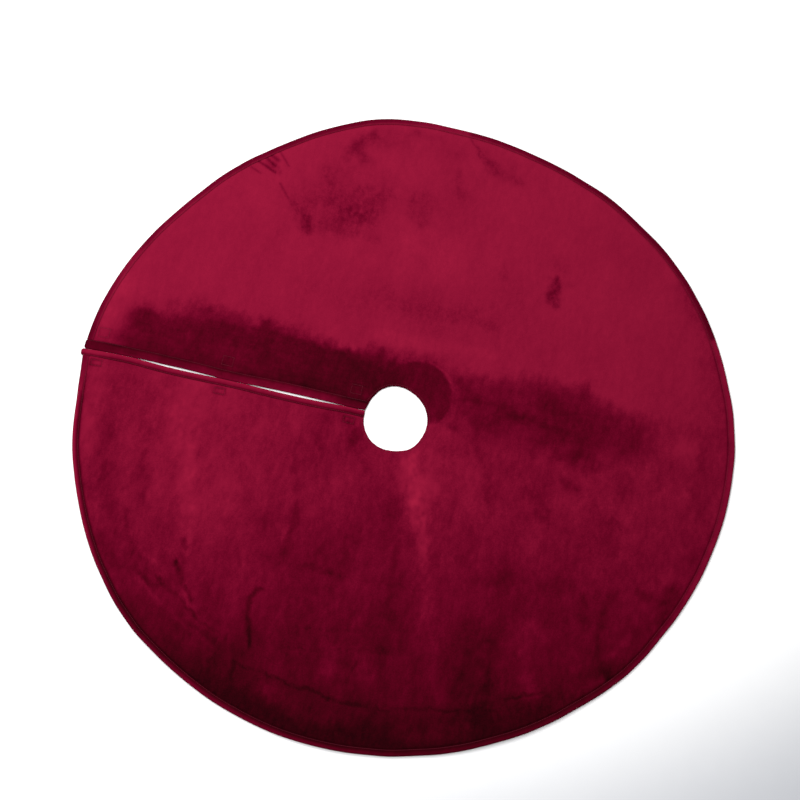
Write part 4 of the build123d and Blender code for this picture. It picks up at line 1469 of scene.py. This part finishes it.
def add_camera():
    """It looks steeply down on the skirt from the front, and a little from the right."""
    azimuth, elevation = math.radians(CAMERA_AZIMUTH), math.radians(CAMERA_ELEVATION)
    aim = Vector(((RIM_CENTRE[0] - 2.8) * MM, (RIM_CENTRE[1] + 1.2) * MM, 0))
    back = Vector((
        math.sin(azimuth) * math.cos(elevation),
        -math.cos(azimuth) * math.cos(elevation),
        math.sin(elevation),
    ))
    data = bpy.data.cameras.new("camera")
    data.lens = CAMERA_LENS
    data.shift_y = CAMERA_SHIFT
    camera = bpy.data.objects.new("camera", data)
    camera.location = aim + back * CAMERA_DISTANCE
    camera.rotation_euler = (-back).to_track_quat("-Z", "Y").to_euler()
    bpy.context.scene.collection.objects.link(camera)
    bpy.context.scene.camera = camera


# ---- putting it together ----

def bend_with(obj):
    """Bakes the piece's placement into its mesh."""
    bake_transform(obj)


bpy.context.scene.view_settings.view_transform = "Standard"
add_camera()
light_studio()
make_floor()

# which CAD bodies each sector's pieces stand for
STANDS_FOR = {
    "right": ("front_right", "back_right"),
    "back": ("back_left",),
    "flap": ("opening_flap",),
    "front": ("front_left",),
}

for sector, bodies in STANDS_FOR.items():
    velvet = make_velvet(sector)
    lining = make_lining(sector)
    rim_binding = make_rim_binding(sector)
    rim_stitching = make_ring_stitching("rim_stitching", sector, RIM_CENTRE, RIM_SEAM, seam_height)
    hole_stitching = make_ring_stitching("hole_stitching", sector, HOLE_CENTRE, HOLE_SEAM, velvet_face)
    pieces = {
        "velvet": (velvet, "velvet"),
        "lining": (lining, "lining"),
        "rim_binding": (rim_binding, "binding"),
        "rim_stitching": (rim_stitching, "thread"),
        "hole_stitching": (hole_stitching, "thread"),
    }
    for stem, (obj, slot) in pieces.items():
        bend_with(obj)
        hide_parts(*[f"{stem}_{body}" for body in bodies])
    hole, rim = sector_columns(sector)

SLIT_SIDES = {
    "front": (FRONT_EDGE, -1, FRONT_BAND, front_band_painted_light_and_shade, "front_left"),
    "back": (BACK_EDGE, 1, BACK_BAND, back_band_tone_and_painted_light, "opening_flap"),
}
for edge_name, (edge, side, band, tone, body) in SLIT_SIDES.items():
    binding = make_slit_binding(edge_name, edge, side, band, tone)
    stitching = make_slit_stitching(edge_name, edge, side, band)
    for obj, stem, slot in ((binding, "slit_binding", "binding"), (stitching, "slit_stitching", "thread")):
        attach(obj, body)
        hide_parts(f"{stem}_{edge_name}")

for place in PLACES:
    tapes = [
        (make_hook_tab(place), "hook_tab", "front_left", "hook_tape"),
        (make_box_stitching("hook", place), "hook_box_stitching", "front_left", "thread"),
        (make_loop_pad(place), "loop_pad", "opening_flap", "loop_tape"),
        (make_box_stitching("loop", place), "loop_box_stitching", "opening_flap", "thread"),
    ]
    for obj, stem, body, slot in tapes:
        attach(obj, body)
        if stem == "hook_tab":
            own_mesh(obj)
        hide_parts(f"{stem}_{place}")
